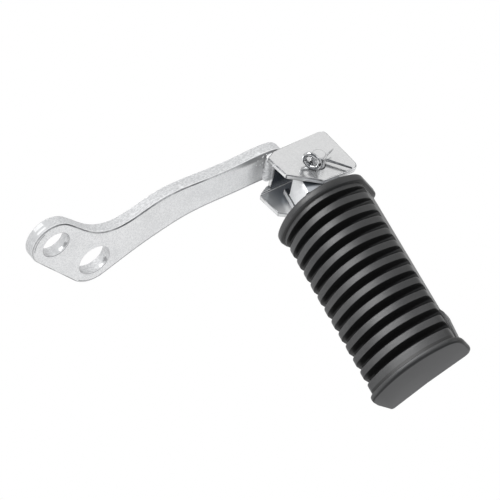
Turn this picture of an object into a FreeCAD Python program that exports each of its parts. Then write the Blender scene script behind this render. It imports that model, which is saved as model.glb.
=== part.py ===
"""Folding footrest bracket: plate arm, folded hinge bracket, pin, and a peg with a ribbed rubber."""
import math
import os

import FreeCAD
import Part

V3 = FreeCAD.Vector

# Plate arm, in its own plane: u runs from the mounting end to the hinge, v across, w outboard.
ARM_T = 6.0
HOLE1_R = 6.6
HOLE2_R = 7.9
HOLE2_U, HOLE2_V = 22.0, -19.3
BOSS1_U, BOSS1_V = -0.8, 0.6
BOSS1_R = HOLE1_R + 4.7
BOSS2_R = HOLE2_R + 5.2
END_R = 8.9
END_V = 0.4
ARM_EDGE = 0.6
ARM_SLOPE = 40.5

# Folded hinge bracket.
SHEET_T = 2.5
BEND_R, BEND_OUT_R = 0.5, 1.2
EAR_TOP_V = 10.0
EAR_GAP = 21.1
EAR_BEHIND, EAR_AHEAD = 18.3, 17.3
EAR_DEPTH = 27.5
EAR_STEP, EAR_SIDE, EAR_SLANT = 3.8, 16.0, 14.6
WEB_SETBACK = 11.8
END_LAP = 1.0
CORNER_R, SOFT_R = 4.0, 2.4
WEB_SKEW = 4.0
WEB_LIFT = 0.2
WELD_LEG = 3.6

# Hinge pin and split pin.
PIN_R = 3.75
PIN_U = 128.0
PIN_W = ARM_T + 17.1
PIN_OUT = 6.4
PIN_HEAD_R, PIN_HEAD_T = 6.5, 3.0
EAR_HOLE_CLEAR = 0.10
CORE_BORE_CLEAR = 0.06
SPLIT_R = 1.2
SPLIT_CLEAR = 0.15
SPLIT_LIFT = 1.7
EYE_R = 3.0
EYE_LIFT = 2.5
WIRE_R, TIP_R = 1.0, 0.55
LONG_LEG, SHORT_LEG = (11.6, -0.4, 10.8), (9.6, 0.9, -3.6)

# Peg: turned about the pin to its stop, tread rolled to stand level.
PEG_TURN = 13.2
PEG_ROLL = 39.7
CORE_W = 20.6
CORE_SIDE_CLEAR = 0.5
CORE_WALL = 2.5
CORE_REAR = 6.6
HEEL_GAP = 0.30
SEAM = 0.8
SEAM_Y = -5.6
FLAP_REAR = 0.8
HEAD_R, FLAP_R = 1.6, 2.4
SPIGOT_R = 4.0
SPIGOT_END = 86.0
SEAT_CLEAR = 0.06

# Ribbed rubber, along the peg from the pin.
RUB_IN, RUB_OUT = 13.7, 120.3
HALF_W = 21.9
SIDE_SHIFT = -1.6
EDGE_Y = 4.2
CROWN_IN, CROWN_OUT = 10.25, 3.9
BOTTOM_IN, BOTTOM_OUT = -11.0, -7.6
FLANGE_STEP, FLANGE_SOFT = 1.4, 1.0
FLANGE_IN_SHIFT, FLANGE_OUT_SHIFT = 0.2, 0.9
FLANGE_IN_T, FLANGE_OUT_T = 3.6, 3.2
GROOVES = 12
GROOVE_FIRST_END = 24.6
GROOVE_PITCH = 7.9
GROOVE_W = 3.9
GROOVE_DEPTH = 5.0
FLOOR_EXTRA = 3.0
GROOVE_WRAP, WRAP_LOW = 1.7, -3.0
BOTTOM_R = 3.0
SHOULDER = 1.9
LUG_S, LUG_LEN, LUG_OUT = 104.0, 9.0, 0.7
LUG_LOW, LUG_HIGH = -7.0, -1.5

EAR_LEFT, EAR_RIGHT = PIN_U - EAR_BEHIND, PIN_U + EAR_AHEAD
WEB_LEFT = PIN_U - WEB_SETBACK
END_U = WEB_LEFT - END_LAP
EAR_BOTTOM_V = EAR_TOP_V - 2 * SHEET_T - EAR_GAP
MID_V = EAR_TOP_V - SHEET_T - EAR_GAP / 2
CORE_H = EAR_GAP - 2 * CORE_SIDE_CLEAR
HEAD_END = RUB_IN


def row_frame(shape):
    """Turn the arm frame (u, v, w) into the shared frame: +Z up, outboard towards -Y."""
    a = math.radians(ARM_SLOPE)
    c, s = math.cos(a), math.sin(a)
    m = FreeCAD.Matrix(c, s, 0, 0, 0, 0, -1, 0, -s, c, 0, 0, 0, 0, 0, 1)
    shape.Placement = FreeCAD.Placement(m).multiply(shape.Placement)
    return shape


def peg_frame(shape, roll=0.0):
    """Put a shape drawn along the peg (x across, y up, z along) into the arm frame."""
    turn = FreeCAD.Rotation(V3(0, 1, 0), -PEG_TURN)
    own = FreeCAD.Rotation(V3(0, 0, 1), roll)
    shape.Placement = FreeCAD.Placement(V3(PIN_U, MID_V, PIN_W), turn.multiply(own))
    return shape


def prism(points, axis_from, height):
    """Extrude a closed polygon of vectors by a vector."""
    wire = Part.makePolygon(points + [points[0]])
    return Part.Face(wire).extrude(height).translated(axis_from)


def box(x0, x1, y0, y1, z0, z1):
    """Box between two corners."""
    return Part.makeBox(x1 - x0, y1 - y0, z1 - z0, V3(x0, y0, z0))


def cyl(r, p, axis, length):
    """Cylinder from a point along an axis."""
    return Part.makeCylinder(r, length, p, axis)


def on_circle(cu, cv, r, deg):
    """Point on a circle in the arm's plane."""
    return V3(cu + r * math.cos(math.radians(deg)), cv + r * math.sin(math.radians(deg)), 0)


def spline(points, t0, t1):
    """Edge through points with set end directions."""
    c = Part.BSplineCurve()
    c.interpolate(Points=points, InitialTangent=t0, FinalTangent=t1)
    return c.toShape()


def arm():
    """Blanked plate: two bosses, a dog-leg neck and a round end, edges broken by the die.

    The neck's points are in hundredths of the reach and tenths of the end radius.
    """
    d = math.hypot(HOLE2_U - BOSS1_U, HOLE2_V - BOSS1_V)
    along = math.degrees(math.atan2(HOLE2_V - BOSS1_V, HOLE2_U - BOSS1_U))
    side = along - 90 - math.degrees(math.asin((BOSS2_R - BOSS1_R) / d))
    a1 = on_circle(BOSS1_U, BOSS1_V, BOSS1_R, side)
    a2 = on_circle(HOLE2_U, HOLE2_V, BOSS2_R, side)
    top1 = on_circle(BOSS1_U, BOSS1_V, BOSS1_R, 54)
    low2 = on_circle(HOLE2_U, HOLE2_V, BOSS2_R, -63)
    end_top = on_circle(END_U, END_V, END_R, 90)
    end_low = on_circle(END_U, END_V, END_R, -90)

    def at(u, v):
        return V3(u * END_U / 100, v * END_R / 10, 0)

    upper = [top1] + [at(u, v) for u, v in
                      ((11.7, 4.0), (18.7, -2.1), (26.0, -4.4), (33.9, -2.8), (41.7, 1.3), (50.3, 5.1),
                       (59.9, 6.6), (72.9, 7.2), (87.7, 9.0))] + [end_top]
    lower = [end_low] + [at(u, v) for u, v in
                         ((86.8, -11.0), (72.0, -12.5), (60.8, -14.8), (50.8, -18.9), (38.2, -25.7))] + [low2]
    rising = V3(math.cos(math.radians(27)), math.sin(math.radians(27)), 0)
    edges = [
        Part.Arc(a1, on_circle(BOSS1_U, BOSS1_V, BOSS1_R, 145), top1).toShape(),
        spline(upper, on_circle(0, 0, 1, -36), V3(1, 0, 0)),
        Part.Arc(end_top, on_circle(END_U, END_V, END_R, 0), end_low).toShape(),
        spline(lower, V3(-1, 0, 0), rising.negative()),
        Part.Arc(low2, on_circle(HOLE2_U, HOLE2_V, BOSS2_R, -100), a2).toShape(),
        Part.makeLine(a2, a1),
    ]
    plate = Part.Face(Part.Wire(edges)).extrude(V3(0, 0, ARM_T))
    rims = [e for e in plate.Edges if abs(e.CenterOfMass.z - ARM_T) < 1e-6]
    plate = plate.makeChamfer(ARM_EDGE, rims)
    for r, u, v in ((HOLE1_R, 0, 0), (HOLE2_R, HOLE2_U, HOLE2_V)):
        plate = plate.cut(cyl(r, V3(u, v, -ARM_T), V3(0, 0, 1), 3 * ARM_T))
    return plate


def rear_edges(shape, w):
    """Edges along u that lie at one height w."""
    return [e for e in shape.Edges if e.BoundBox.XLength > EAR_AHEAD and abs(e.CenterOfMass.z - w) < 1e-6]


def upright(shape, tall, u, w):
    """Edge of a height that stands at one place in plan."""
    return [e for e in shape.Edges if abs(e.Length - tall) < 1e-6
            and abs(e.CenterOfMass.x - u) + abs(e.CenterOfMass.z - w) < 1e-6]


def skewed(shape):
    """Turn a shape with the web, which bears on the arm's end and stands off at its weld."""
    pivot = V3(END_U + END_R + WEB_LIFT, 0, ARM_T)
    return shape.rotated(pivot, V3(0, 1, 0), WEB_SKEW)


def bracket():
    """U-folded sheet: web against the arm's outboard face, two ears of one outline."""
    t = SHEET_T
    lo, hi, back, front = EAR_BOTTOM_V, EAR_TOP_V, ARM_T, ARM_T + EAR_DEPTH
    far, past = EAR_RIGHT + 2 * t, front + 2 * t
    outer = box(EAR_LEFT, far, lo, hi, back, past)
    outer = outer.makeFillet(BEND_OUT_R, rear_edges(outer, back))
    inner = box(EAR_LEFT, far, lo + t, hi - t, back + t, past + t)
    inner = inner.makeFillet(BEND_R, rear_edges(inner, back + t))
    outer, inner = skewed(outer), skewed(inner)
    pts = [V3(u, 0, w) for u, w in
           ((WEB_LEFT, back - 2 * t), (WEB_LEFT, back + WEB_LIFT), (EAR_LEFT, back + EAR_STEP),
            (EAR_LEFT, back + EAR_SIDE), (EAR_LEFT + EAR_SLANT, front), (EAR_RIGHT, front),
            (EAR_RIGHT, back - 2 * t))]
    tall = hi - lo + 2 * t
    plan = prism(pts, V3(0, lo - t, 0), V3(0, tall, 0))
    for r, u, w in ((CORNER_R, EAR_RIGHT, front), (SOFT_R, EAR_LEFT, back + EAR_SIDE),
                    (SOFT_R, EAR_LEFT + EAR_SLANT, front)):
        plan = plan.makeFillet(r, upright(plan, tall, u, w))
    slot = box(EAR_LEFT - t, WEB_LEFT, lo + t + BEND_OUT_R, hi - t - BEND_OUT_R, back - t, back + 2 * t)
    body = outer.cut(inner).common(plan).cut(slot)
    return body.cut(cyl(PIN_R + EAR_HOLE_CLEAR, V3(PIN_U, lo - t, PIN_W), V3(0, 1, 0), tall))


def weld():
    """Convex fillet weld in the corner of the arm's face and the web's edge."""
    k = WELD_LEG
    a = V3(WEB_LEFT, 0, ARM_T)
    b = V3(WEB_LEFT - k, 0, ARM_T)
    c = V3(WEB_LEFT, 0, ARM_T + SHEET_T)
    m = V3(WEB_LEFT - 0.62 * k, 0, ARM_T + 0.72 * SHEET_T)
    wire = Part.Wire([Part.makeLine(a, b), Part.Arc(b, m, c).toShape(), Part.makeLine(c, a)])
    low, high = END_V - END_R + 0.4 * k, END_V + END_R - 0.9 * k
    return Part.Face(wire).extrude(V3(0, high - low, 0)).translated(V3(0, low, 0))


def pin():
    """Headed hinge pin, drilled for the split pin, with a chamfered end."""
    top = EAR_TOP_V + PIN_OUT
    shank = cyl(PIN_R, V3(PIN_U, EAR_BOTTOM_V, PIN_W), V3(0, 1, 0), top - EAR_BOTTOM_V)
    rim = [e for e in shank.Edges if e.Closed and e.CenterOfMass.y > top - 0.1]
    shank = shank.makeChamfer(0.7, rim)
    head = cyl(PIN_HEAD_R, V3(PIN_U, EAR_BOTTOM_V - PIN_HEAD_T, PIN_W), V3(0, 1, 0), PIN_HEAD_T)
    rim = [e for e in head.Edges if e.Closed and e.CenterOfMass.y < EAR_BOTTOM_V - 0.1]
    body = shank.fuse(head.makeFillet(0.8, rim)).removeSplitter()
    hole = cyl(SPLIT_R + SPLIT_CLEAR, V3(PIN_U - 2 * PIN_R, EAR_TOP_V + SPLIT_LIFT, PIN_W), V3(1, 0, 0), 4 * PIN_R)
    return body.cut(hole)


def split_pin():
    """Split pin: eye, shank through the hinge pin, one long and one short leg bent apart."""
    v = EAR_TOP_V + SPLIT_LIFT
    neck = PIN_U - PIN_R - 0.5
    tip = PIN_U + PIN_R + 1.0
    eye = Part.makeTorus(EYE_R, WIRE_R, V3(neck - WIRE_R, v + EYE_LIFT, PIN_W), V3(1, 0, 0))
    shank = cyl(SPLIT_R, V3(neck - WIRE_R, v, PIN_W), V3(1, 0, 0), tip - neck + WIRE_R)
    root = cyl(WIRE_R, V3(neck - WIRE_R, v + EYE_LIFT - EYE_R, PIN_W), V3(0, 1, 0), EYE_R - EYE_LIFT)
    start = V3(tip - 0.2, v, PIN_W)
    body = eye.fuse(shank).fuse(root)
    for leg in (LONG_LEG, SHORT_LEG):
        run = V3(PIN_U, v, PIN_W).add(V3(*leg)).sub(start)
        body = body.fuse(Part.makeCone(WIRE_R, TIP_R, run.Length, start, run))
    return body.fuse(Part.makeSphere(SPLIT_R, start)).removeSplitter()


def core():
    """Folded box head with a seam, bored for the pin, heel against the web, and a round spigot."""
    x, y, t = CORE_W / 2, CORE_H / 2, CORE_WALL
    head = box(-x, x, -y, y, -CORE_REAR, HEAD_END)
    folds = [e for e in head.Edges if abs(e.Length - CORE_REAR - HEAD_END) < 1e-6]
    head = head.makeFillet(HEAD_R, folds)
    heel = box(x - t, x, -y + HEAD_R + SEAM, y - HEAD_R - SEAM, -PIN_W, 0)
    head = head.fuse(heel)
    head = head.cut(box(-x + t, x - t, -y + t, y - t, -PIN_W, HEAD_END - t))
    head = head.cut(box(-x - t, -x + 1.5 * t, SEAM_Y - SEAM / 2, SEAM_Y + SEAM / 2, -PIN_W, HEAD_END - t))
    flap = box(-x - t, -x + t, SEAM_Y, y - t, -PIN_W, -FLAP_REAR)
    rim = [e for e in flap.Edges if abs(e.BoundBox.ZMax + FLAP_REAR) < 1e-6 and abs(e.Length - 2 * t) < 1e-6]
    head = head.cut(flap.makeFillet(FLAP_R, rim))
    bore = cyl(PIN_R + CORE_BORE_CLEAR, V3(0, -y - t, 0), V3(0, 1, 0), 2 * (y + t))
    spigot = cyl(SPIGOT_R, V3(0, 0, HEAD_END - t), V3(0, 0, 1), SPIGOT_END - HEAD_END + t)
    rim = [e for e in spigot.Edges if e.Closed and e.CenterOfMass.z > SPIGOT_END - 0.1]
    body = peg_frame(head.cut(bore).fuse(spigot.makeChamfer(1.0, rim)).removeSplitter())
    stop, wide = ARM_T + SHEET_T + HEEL_GAP, 2 * CORE_W
    return body.cut(skewed(box(PIN_U - wide, PIN_U + wide, MID_V - wide, MID_V + wide, stop - wide, stop)))


def section(s, grow=0.0, sink=0.0, wide=0.0):
    """Closed wire of the rubber's section at a distance along the peg."""
    k = (s - RUB_IN) / (RUB_OUT - RUB_IN)
    b = HALF_W + grow + wide
    crown = CROWN_IN + k * (CROWN_OUT - CROWN_IN) + (grow if sink == 0 else 0)
    edge = EDGE_Y - sink
    low = BOTTOM_IN + k * (BOTTOM_OUT - BOTTOM_IN) - grow - (20.0 if sink else 0.0)
    radius = (b * b + crown * crown) / (2 * crown)
    dome = edge + crown - radius

    def top(x):
        return dome + math.sqrt(radius * radius - x * x)

    def p(x, y):
        return V3(x, y, s)

    edges = [Part.makeLine(p(-b + BOTTOM_R, low), p(b - BOTTOM_R, low))]
    for sx in (1, -1):
        q = BOTTOM_R * (1 - math.sqrt(0.5))
        foot = (p(sx * (b - BOTTOM_R), low), p(sx * (b - q), low + q), p(sx * b, low + BOTTOM_R))
        wall = p(sx * b, edge - SHOULDER)
        in_x = b - SHOULDER
        mid = p(sx * (0.25 * b + 0.5 * b + 0.25 * in_x),
                0.25 * (edge - SHOULDER) + 0.5 * edge + 0.25 * top(in_x))
        edges.append(Part.Arc(*foot).toShape())
        edges.append(Part.makeLine(foot[2], wall))
        edges.append(Part.Arc(wall, mid, p(sx * in_x, top(in_x))).toShape())
    in_x = b - SHOULDER
    edges.append(Part.Arc(p(in_x, top(in_x)), p(0, edge + crown), p(-in_x, top(in_x))).toShape())
    return Part.Wire(Part.__sortEdges__(edges))


def span(s0, s1, **kw):
    """Ruled solid of the rubber's section between two distances."""
    return Part.makeLoft([section(s0, **kw), section(s1, **kw)], True, True)


def rubber():
    """Ribbed sleeve: tapering body, a bead at each end, grooves across the tread, socket for the core."""
    body = span(RUB_IN, RUB_OUT)
    for s0, s1, shift in ((RUB_IN, RUB_IN + FLANGE_IN_T, FLANGE_IN_SHIFT),
                          (RUB_OUT - FLANGE_OUT_T, RUB_OUT, FLANGE_OUT_SHIFT)):
        low, full, k = FLANGE_STEP - FLANGE_SOFT, FLANGE_STEP, FLANGE_SOFT
        bead = [section(s, grow=g) for s, g in ((s0, low), (s0 + k, full), (s1 - k, full), (s1, low))]
        body = body.fuse(Part.makeLoft(bead, True, True).translated(V3(shift, 0, 0)))
    floor = span(RUB_IN, RUB_OUT, sink=GROOVE_DEPTH, wide=FLOOR_EXTRA)
    far = 3 * HALF_W
    floor = floor.cut(box(-far, -HALF_W + GROOVE_WRAP, -far, far, 0, 2 * RUB_OUT))
    for i in range(GROOVES):
        s1 = GROOVE_FIRST_END + i * GROOVE_PITCH
        slab = box(-far, far, WRAP_LOW, far, s1 - GROOVE_W, s1)
        body = body.cut(slab.cut(floor))
    lug = box(HALF_W - 2, HALF_W + LUG_OUT, LUG_LOW, LUG_HIGH, LUG_S - LUG_LEN / 2, LUG_S + LUG_LEN / 2)
    rim = [e for e in lug.Edges if e.CenterOfMass.x > HALF_W - 1]
    body = body.fuse(lug.makeFillet(0.8 * LUG_OUT, rim)).translated(V3(SIDE_SHIFT, 0, 0))
    socket = cyl(SPIGOT_R + SEAT_CLEAR, V3(0, 0, RUB_IN - 1), V3(0, 0, 1), SPIGOT_END + 1.5 - RUB_IN)
    return peg_frame(body.cut(socket), PEG_ROLL)


def main():
    """Build every piece and write one STEP file for each."""
    os.makedirs("parts", exist_ok=True)
    nodes = {
        "support_arm": arm(),
        "hinge_bracket": bracket(),
        "weld_bead": weld(),
        "hinge_pin": pin(),
        "split_pin": split_pin(),
        "peg_core": core(),
        "footrest_rubber": rubber(),
    }
    for name, shape in nodes.items():
        row_frame(shape).exportStep(f"parts/{name}.step")


main()
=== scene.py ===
"""Dressed model of a folding footrest bracket: plate arm, folded clevis, pin and ribbed rubber peg.

Sizes are in millimetres and degrees, in the arm's or the peg's own frame, and meshes are in metres.
"""
from __future__ import annotations

import logging
import math
from dataclasses import dataclass
from enum import Enum
from typing import Union

import bmesh
import bpy
from mathutils import Matrix, Vector

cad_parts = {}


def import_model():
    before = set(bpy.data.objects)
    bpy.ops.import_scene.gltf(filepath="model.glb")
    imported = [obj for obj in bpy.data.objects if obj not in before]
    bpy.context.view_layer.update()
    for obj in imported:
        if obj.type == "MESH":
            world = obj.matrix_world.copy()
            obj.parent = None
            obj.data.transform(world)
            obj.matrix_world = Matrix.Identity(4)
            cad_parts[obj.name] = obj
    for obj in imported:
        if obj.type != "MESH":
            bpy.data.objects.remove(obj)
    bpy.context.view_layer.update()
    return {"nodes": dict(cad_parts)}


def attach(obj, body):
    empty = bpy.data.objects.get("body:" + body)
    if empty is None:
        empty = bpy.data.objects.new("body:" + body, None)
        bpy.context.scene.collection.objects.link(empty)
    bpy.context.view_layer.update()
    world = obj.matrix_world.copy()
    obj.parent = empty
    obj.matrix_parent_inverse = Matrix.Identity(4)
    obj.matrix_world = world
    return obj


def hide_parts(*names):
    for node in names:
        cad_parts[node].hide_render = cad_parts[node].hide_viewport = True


Point = tuple[float, float, float]
Colour = tuple[float, float, float]
Band = tuple[float, float]
Profile = tuple[Point, ...]
Socket = bpy.types.NodeSocket
Value = Union[bpy.types.NodeSocket, float, tuple]

LOG = logging.getLogger("footrest")
MM = 0.001
UNIT: Band = (0.0, 1.0)
WHITE: Colour = (1.0, 1.0, 1.0)
NOISE_MIDDLE = 0.5
# Distance in metres within which loose corners merge
MERGE = 2e-6
# Angles in degrees: flat enough to be one face, crisp on metal, crisp on curved pieces
FLAT_ANGLE = 0.6
SHARP_ANGLE = 30.0
CURVED_ANGLE = 40.0
# Marks on a face: a rounded edge, which the bright finishes paint with a dark reflection, and a rim beside
# one, which the plate's finish paints in shade
ROUND, RIM = 1, 2


class Body(Enum):
    """Rigid bodies of the frame."""

    BRACKET = "bracket"
    PEG = "peg"


class Slot(Enum):
    """Material slots of the record."""

    PLATE = "zinc_plate"
    SHEET = "zinc_sheet"
    WELD = "weld_metal"
    PIN = "pin_steel"
    CORE = "core_steel"
    RUBBER = "tread_rubber"


@dataclass(frozen=True)
class Axes:
    """Directions of the arm and the peg, and the pad's centre."""

    arm_slope: float = 40.5
    pin_u: float = 128.0
    pin_v: float = -3.05
    pin_w: float = 23.1
    peg_turn: float = 13.2
    peg_roll: float = 39.7
    pad: Point = (-0.8, 0.6, 0.0)

    def arm(self) -> Matrix:
        """Arm frame (u along, v across, w outboard) to the shared frame.

        Returns:
            The matrix, from millimetres to metres.
        """
        a = math.radians(self.arm_slope)
        c, s = math.cos(a), math.sin(a)
        turn = Matrix(((c, s, 0, 0), (0, 0, -1, 0), (-s, c, 0, 0), (0, 0, 0, 1)))
        return Matrix.Scale(MM, 4) @ turn

    def peg(self, rolled: bool) -> Matrix:
        """Peg frame (x across, y up, z along) to the shared frame.

        Args:
            rolled: True for the rubber, whose tread is rolled level.

        Returns:
            The matrix, from millimetres to metres.
        """
        roll = math.radians(self.peg_roll if rolled else 0.0)
        place = Matrix.Translation((self.pin_u, self.pin_v, self.pin_w))
        turn = Matrix.Rotation(math.radians(-self.peg_turn), 4, "Y")
        return self.arm() @ place @ turn @ Matrix.Rotation(roll, 4, "Z")

    def turned(self, u: float, v: float) -> Vector:
        """Unit direction in the arm's plane, in the shared frame."""
        return (self.arm().to_3x3() @ Vector((u, v, 0.0))).normalized()

    @property
    def along(self) -> Vector:
        """Unit direction along the arm, from the pad to the hinge."""
        return self.turned(1.0, 0.0)

    @property
    def up(self) -> Vector:
        """Unit direction across the arm, towards the upper ear."""
        return self.turned(0.0, 1.0)

    @property
    def out(self) -> Vector:
        """Unit direction from the arm to the peg's outer end."""
        return self.arm().col[2].to_3d().normalized()


AXES = Axes()


def add_piece(name: str, data: bpy.types.ID) -> bpy.types.Object:
    """Link a mesh, a curve, a lamp or a camera as an object at the origin.

    Args:
        name: Object name.
        data: Its data. A mesh or a curve has its place in its points.

    Returns:
        The new object.
    """
    piece = bpy.data.objects.new(name, data)
    bpy.context.scene.collection.objects.link(piece)
    return piece


def mesh_from(name: str, bm: bmesh.types.BMesh) -> bpy.types.Mesh:
    """Turn a bmesh into a mesh and free it.

    Args:
        name: Mesh name.
        bm: Source, freed afterwards.

    Returns:
        The mesh.
    """
    mesh = bpy.data.meshes.new(name)
    bm.to_mesh(mesh)
    bm.free()
    return mesh


def smooth(mesh: bpy.types.Mesh, degrees: float) -> None:
    """Shade a mesh smooth, with edges sharper than an angle left crisp."""
    mesh.shade_smooth()
    mesh.set_sharp_from_angle(angle=math.radians(degrees))


def evaluated(piece: bpy.types.Object) -> bpy.types.Mesh:
    """Plain mesh of a piece with its modifiers, or of a curve."""
    graph = bpy.context.evaluated_depsgraph_get()
    return bpy.data.meshes.new_from_object(piece.evaluated_get(graph))


def bake(piece: bpy.types.Object) -> None:
    """Apply a piece's modifiers to its mesh and remove them.

    Args:
        piece: Piece to change.
    """
    mesh = evaluated(piece)
    piece.modifiers.clear()
    old = piece.data
    piece.data = mesh
    bpy.data.meshes.remove(old)


def settle(piece: bpy.types.Object, node: str, body: Body) -> None:
    """Put a finished piece in its solid's place, on its body.

    Args:
        piece: Finished piece.
        node: CAD node that it replaces.
        body: Body that it rides on.
    """
    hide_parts(node)
    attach(piece, body.value)


def bridge(bm: bmesh.types.BMesh, loops: list[list[bmesh.types.BMVert]]) -> None:
    """Join closed loops of equal counts with four-sided faces, each loop to the next.

    Args:
        bm: Mesh that holds the loops.
        loops: Loops in order.
    """
    for a, b in zip(loops, loops[1:]):
        for i in range(len(a)):
            j = (i + 1) % len(a)
            bm.faces.new((a[i], a[j], b[j], b[i]))


@dataclass(frozen=True)
class PlanCorner:
    """Upright corner of a folded piece, rounded in plan near its two folds, in the arm's frame."""

    u: float
    w: float
    radius: float
    folds: Band
    reach: Band = (2.6, 5.0)
    cuts: int = 5
    snap: float = 1e-4

    def share(self, v: float) -> float:
        """How much a height takes part: whole at a fold, none at the web's middle."""
        near = min(abs(v - fold) for fold in self.folds)
        return min(1.0, max(0.0, (self.reach[1] - near) / (self.reach[1] - self.reach[0])))

    def cut(self, bm: bmesh.types.BMesh) -> None:
        """Cut the corner into fine steps along both of its walls.

        Args:
            bm: Piece in the arm's frame.
        """
        for i in range(self.cuts + 1):
            back = self.radius * (1.0 - i / (self.cuts + 1))
            for spot, way in (((self.u - back, 0, 0), (1, 0, 0)), ((0, 0, self.w + back), (0, 0, 1))):
                whole = bm.verts[:] + bm.edges[:] + bm.faces[:]
                bmesh.ops.bisect_plane(bm, geom=whole, plane_co=spot, plane_no=way, dist=self.snap)

    def pull(self, bm: bmesh.types.BMesh) -> None:
        """Pull the corner's points in from the square onto the round.

        Args:
            bm: Piece in the arm's frame, cut finely.
        """
        r = self.radius
        for vert in bm.verts:
            du, dw = (vert.co.x - self.u + r) / r, (self.w + r - vert.co.z) / r
            if du > 0.0 and dw > 0.0:
                k = 1.0 + (max(du, dw) / math.hypot(du, dw) - 1.0) * self.share(vert.co.y)
                vert.co.x, vert.co.z = self.u - r + du * k * r, self.w + r - dw * k * r

    def apply(self, mesh: bpy.types.Mesh) -> None:
        """Round the corner of a mesh.

        Args:
            mesh: Mesh in the shared frame.
        """
        arm = AXES.arm()
        bm = bmesh.new()
        bm.from_mesh(mesh)
        bmesh.ops.triangulate(bm, faces=bm.faces)
        bmesh.ops.transform(bm, matrix=arm.inverted(), verts=bm.verts)
        self.cut(bm)
        self.pull(bm)
        bmesh.ops.transform(bm, matrix=arm, verts=bm.verts)
        bm.to_mesh(mesh)
        bm.free()
        hard = mesh.attributes.get("custom_normal")
        if hard is not None:
            mesh.attributes.remove(hard)
        mesh.shade_smooth()


@dataclass(frozen=True)
class LowerRim:
    """Strip along the lower edges of a plate's outboard face, told by the chamfers beside it, for painted
    shade.
    """

    width: float
    face_least: float = 0.99
    chamfer: Band = (0.3, 0.97)
    down_least: float = 0.56
    left: Band = (-0.906, 0.423)
    left_least: float = 0.6

    def beside(self, face: bmesh.types.BMFace) -> bool:
        """Whether a strip's face lies beside a chamfer that looks down or to the pad's left.

        Args:
            face: Face of the strip.

        Returns:
            True on the lower edges.
        """
        left = AXES.turned(*self.left)
        low, high = self.chamfer
        ways = [n.normal for e in face.edges for n in e.link_faces if low < n.normal.dot(AXES.out) < high]
        return any(w.dot(AXES.up) < -self.down_least or w.dot(left) > self.left_least for w in ways)

    def mark(self, bm: bmesh.types.BMesh) -> None:
        """Inset the outboard face and mark the strip along its lower edges.

        Args:
            bm: Plate in the shared frame.
        """
        bm.normal_update()
        faces = [f for f in bm.faces if f.normal.dot(AXES.out) > self.face_least]
        strip = bmesh.ops.inset_region(bm, faces=faces, thickness=self.width * MM, use_even_offset=True)
        for face in strip["faces"]:
            face.material_index = RIM if self.beside(face) else 0


@dataclass(frozen=True)
class SoftEdges:
    """Rounded edges for a copy of a solid, kept on its faces as the attribute edge: 1 a round, 2 a rim."""

    width: float
    segments: int = 2
    corner: PlanCorner | None = None
    rim: LowerRim | None = None
    flat_weight: int = 100

    def merged(self, node: bpy.types.Object, name: str) -> bpy.types.Mesh:
        """Copy a solid's mesh with its loose triangles merged.

        Args:
            node: CAD node to copy.
            name: Name of the copy.

        Returns:
            The copy, with a rim marked where one is asked for.
        """
        bm = bmesh.new()
        bm.from_mesh(node.data)
        bmesh.ops.remove_doubles(bm, verts=bm.verts, dist=MERGE)
        bmesh.ops.dissolve_limit(bm, angle_limit=math.radians(FLAT_ANGLE), verts=bm.verts, edges=bm.edges)
        for face in bm.faces:
            face.material_index = 0
        if self.rim is not None:
            self.rim.mark(bm)
        return mesh_from(name, bm)

    def keep_marks(self, mesh: bpy.types.Mesh) -> None:
        """Move the marks from the faces' material numbers to an attribute.

        Args:
            mesh: Mesh whose rounds and rims have material numbers.
        """
        marks = [float(face.material_index) for face in mesh.polygons]
        mesh.attributes.new("edge", "FLOAT", "FACE").data.foreach_set("value", marks)
        mesh.polygons.foreach_set("material_index", [0] * len(marks))
        mesh.materials.clear()

    def copy(self, node: bpy.types.Object, name: str) -> bpy.types.Object:
        """Copy a solid with rounded edges.

        Args:
            node: CAD node to copy.
            name: Name of the copy.

        Returns:
            The copy, as a plain mesh.
        """
        mesh = self.merged(node, name)
        for _ in range(RIM + 1):
            mesh.materials.append(None)
        smooth(mesh, SHARP_ANGLE)
        piece = add_piece(name, mesh)
        bevel = piece.modifiers.new("edge round", "BEVEL")
        bevel.width, bevel.segments, bevel.material = self.width * MM, self.segments, ROUND
        bevel.limit_method, bevel.angle_limit = "ANGLE", math.radians(SHARP_ANGLE)
        bevel.harden_normals, bevel.use_clamp_overlap = True, False
        bake(piece)
        self.keep_marks(piece.data)
        if self.corner is not None:
            self.corner.apply(piece.data)
            piece.modifiers.new("flat faces", "WEIGHTED_NORMAL").weight = self.flat_weight
            bake(piece)
        return piece


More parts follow.
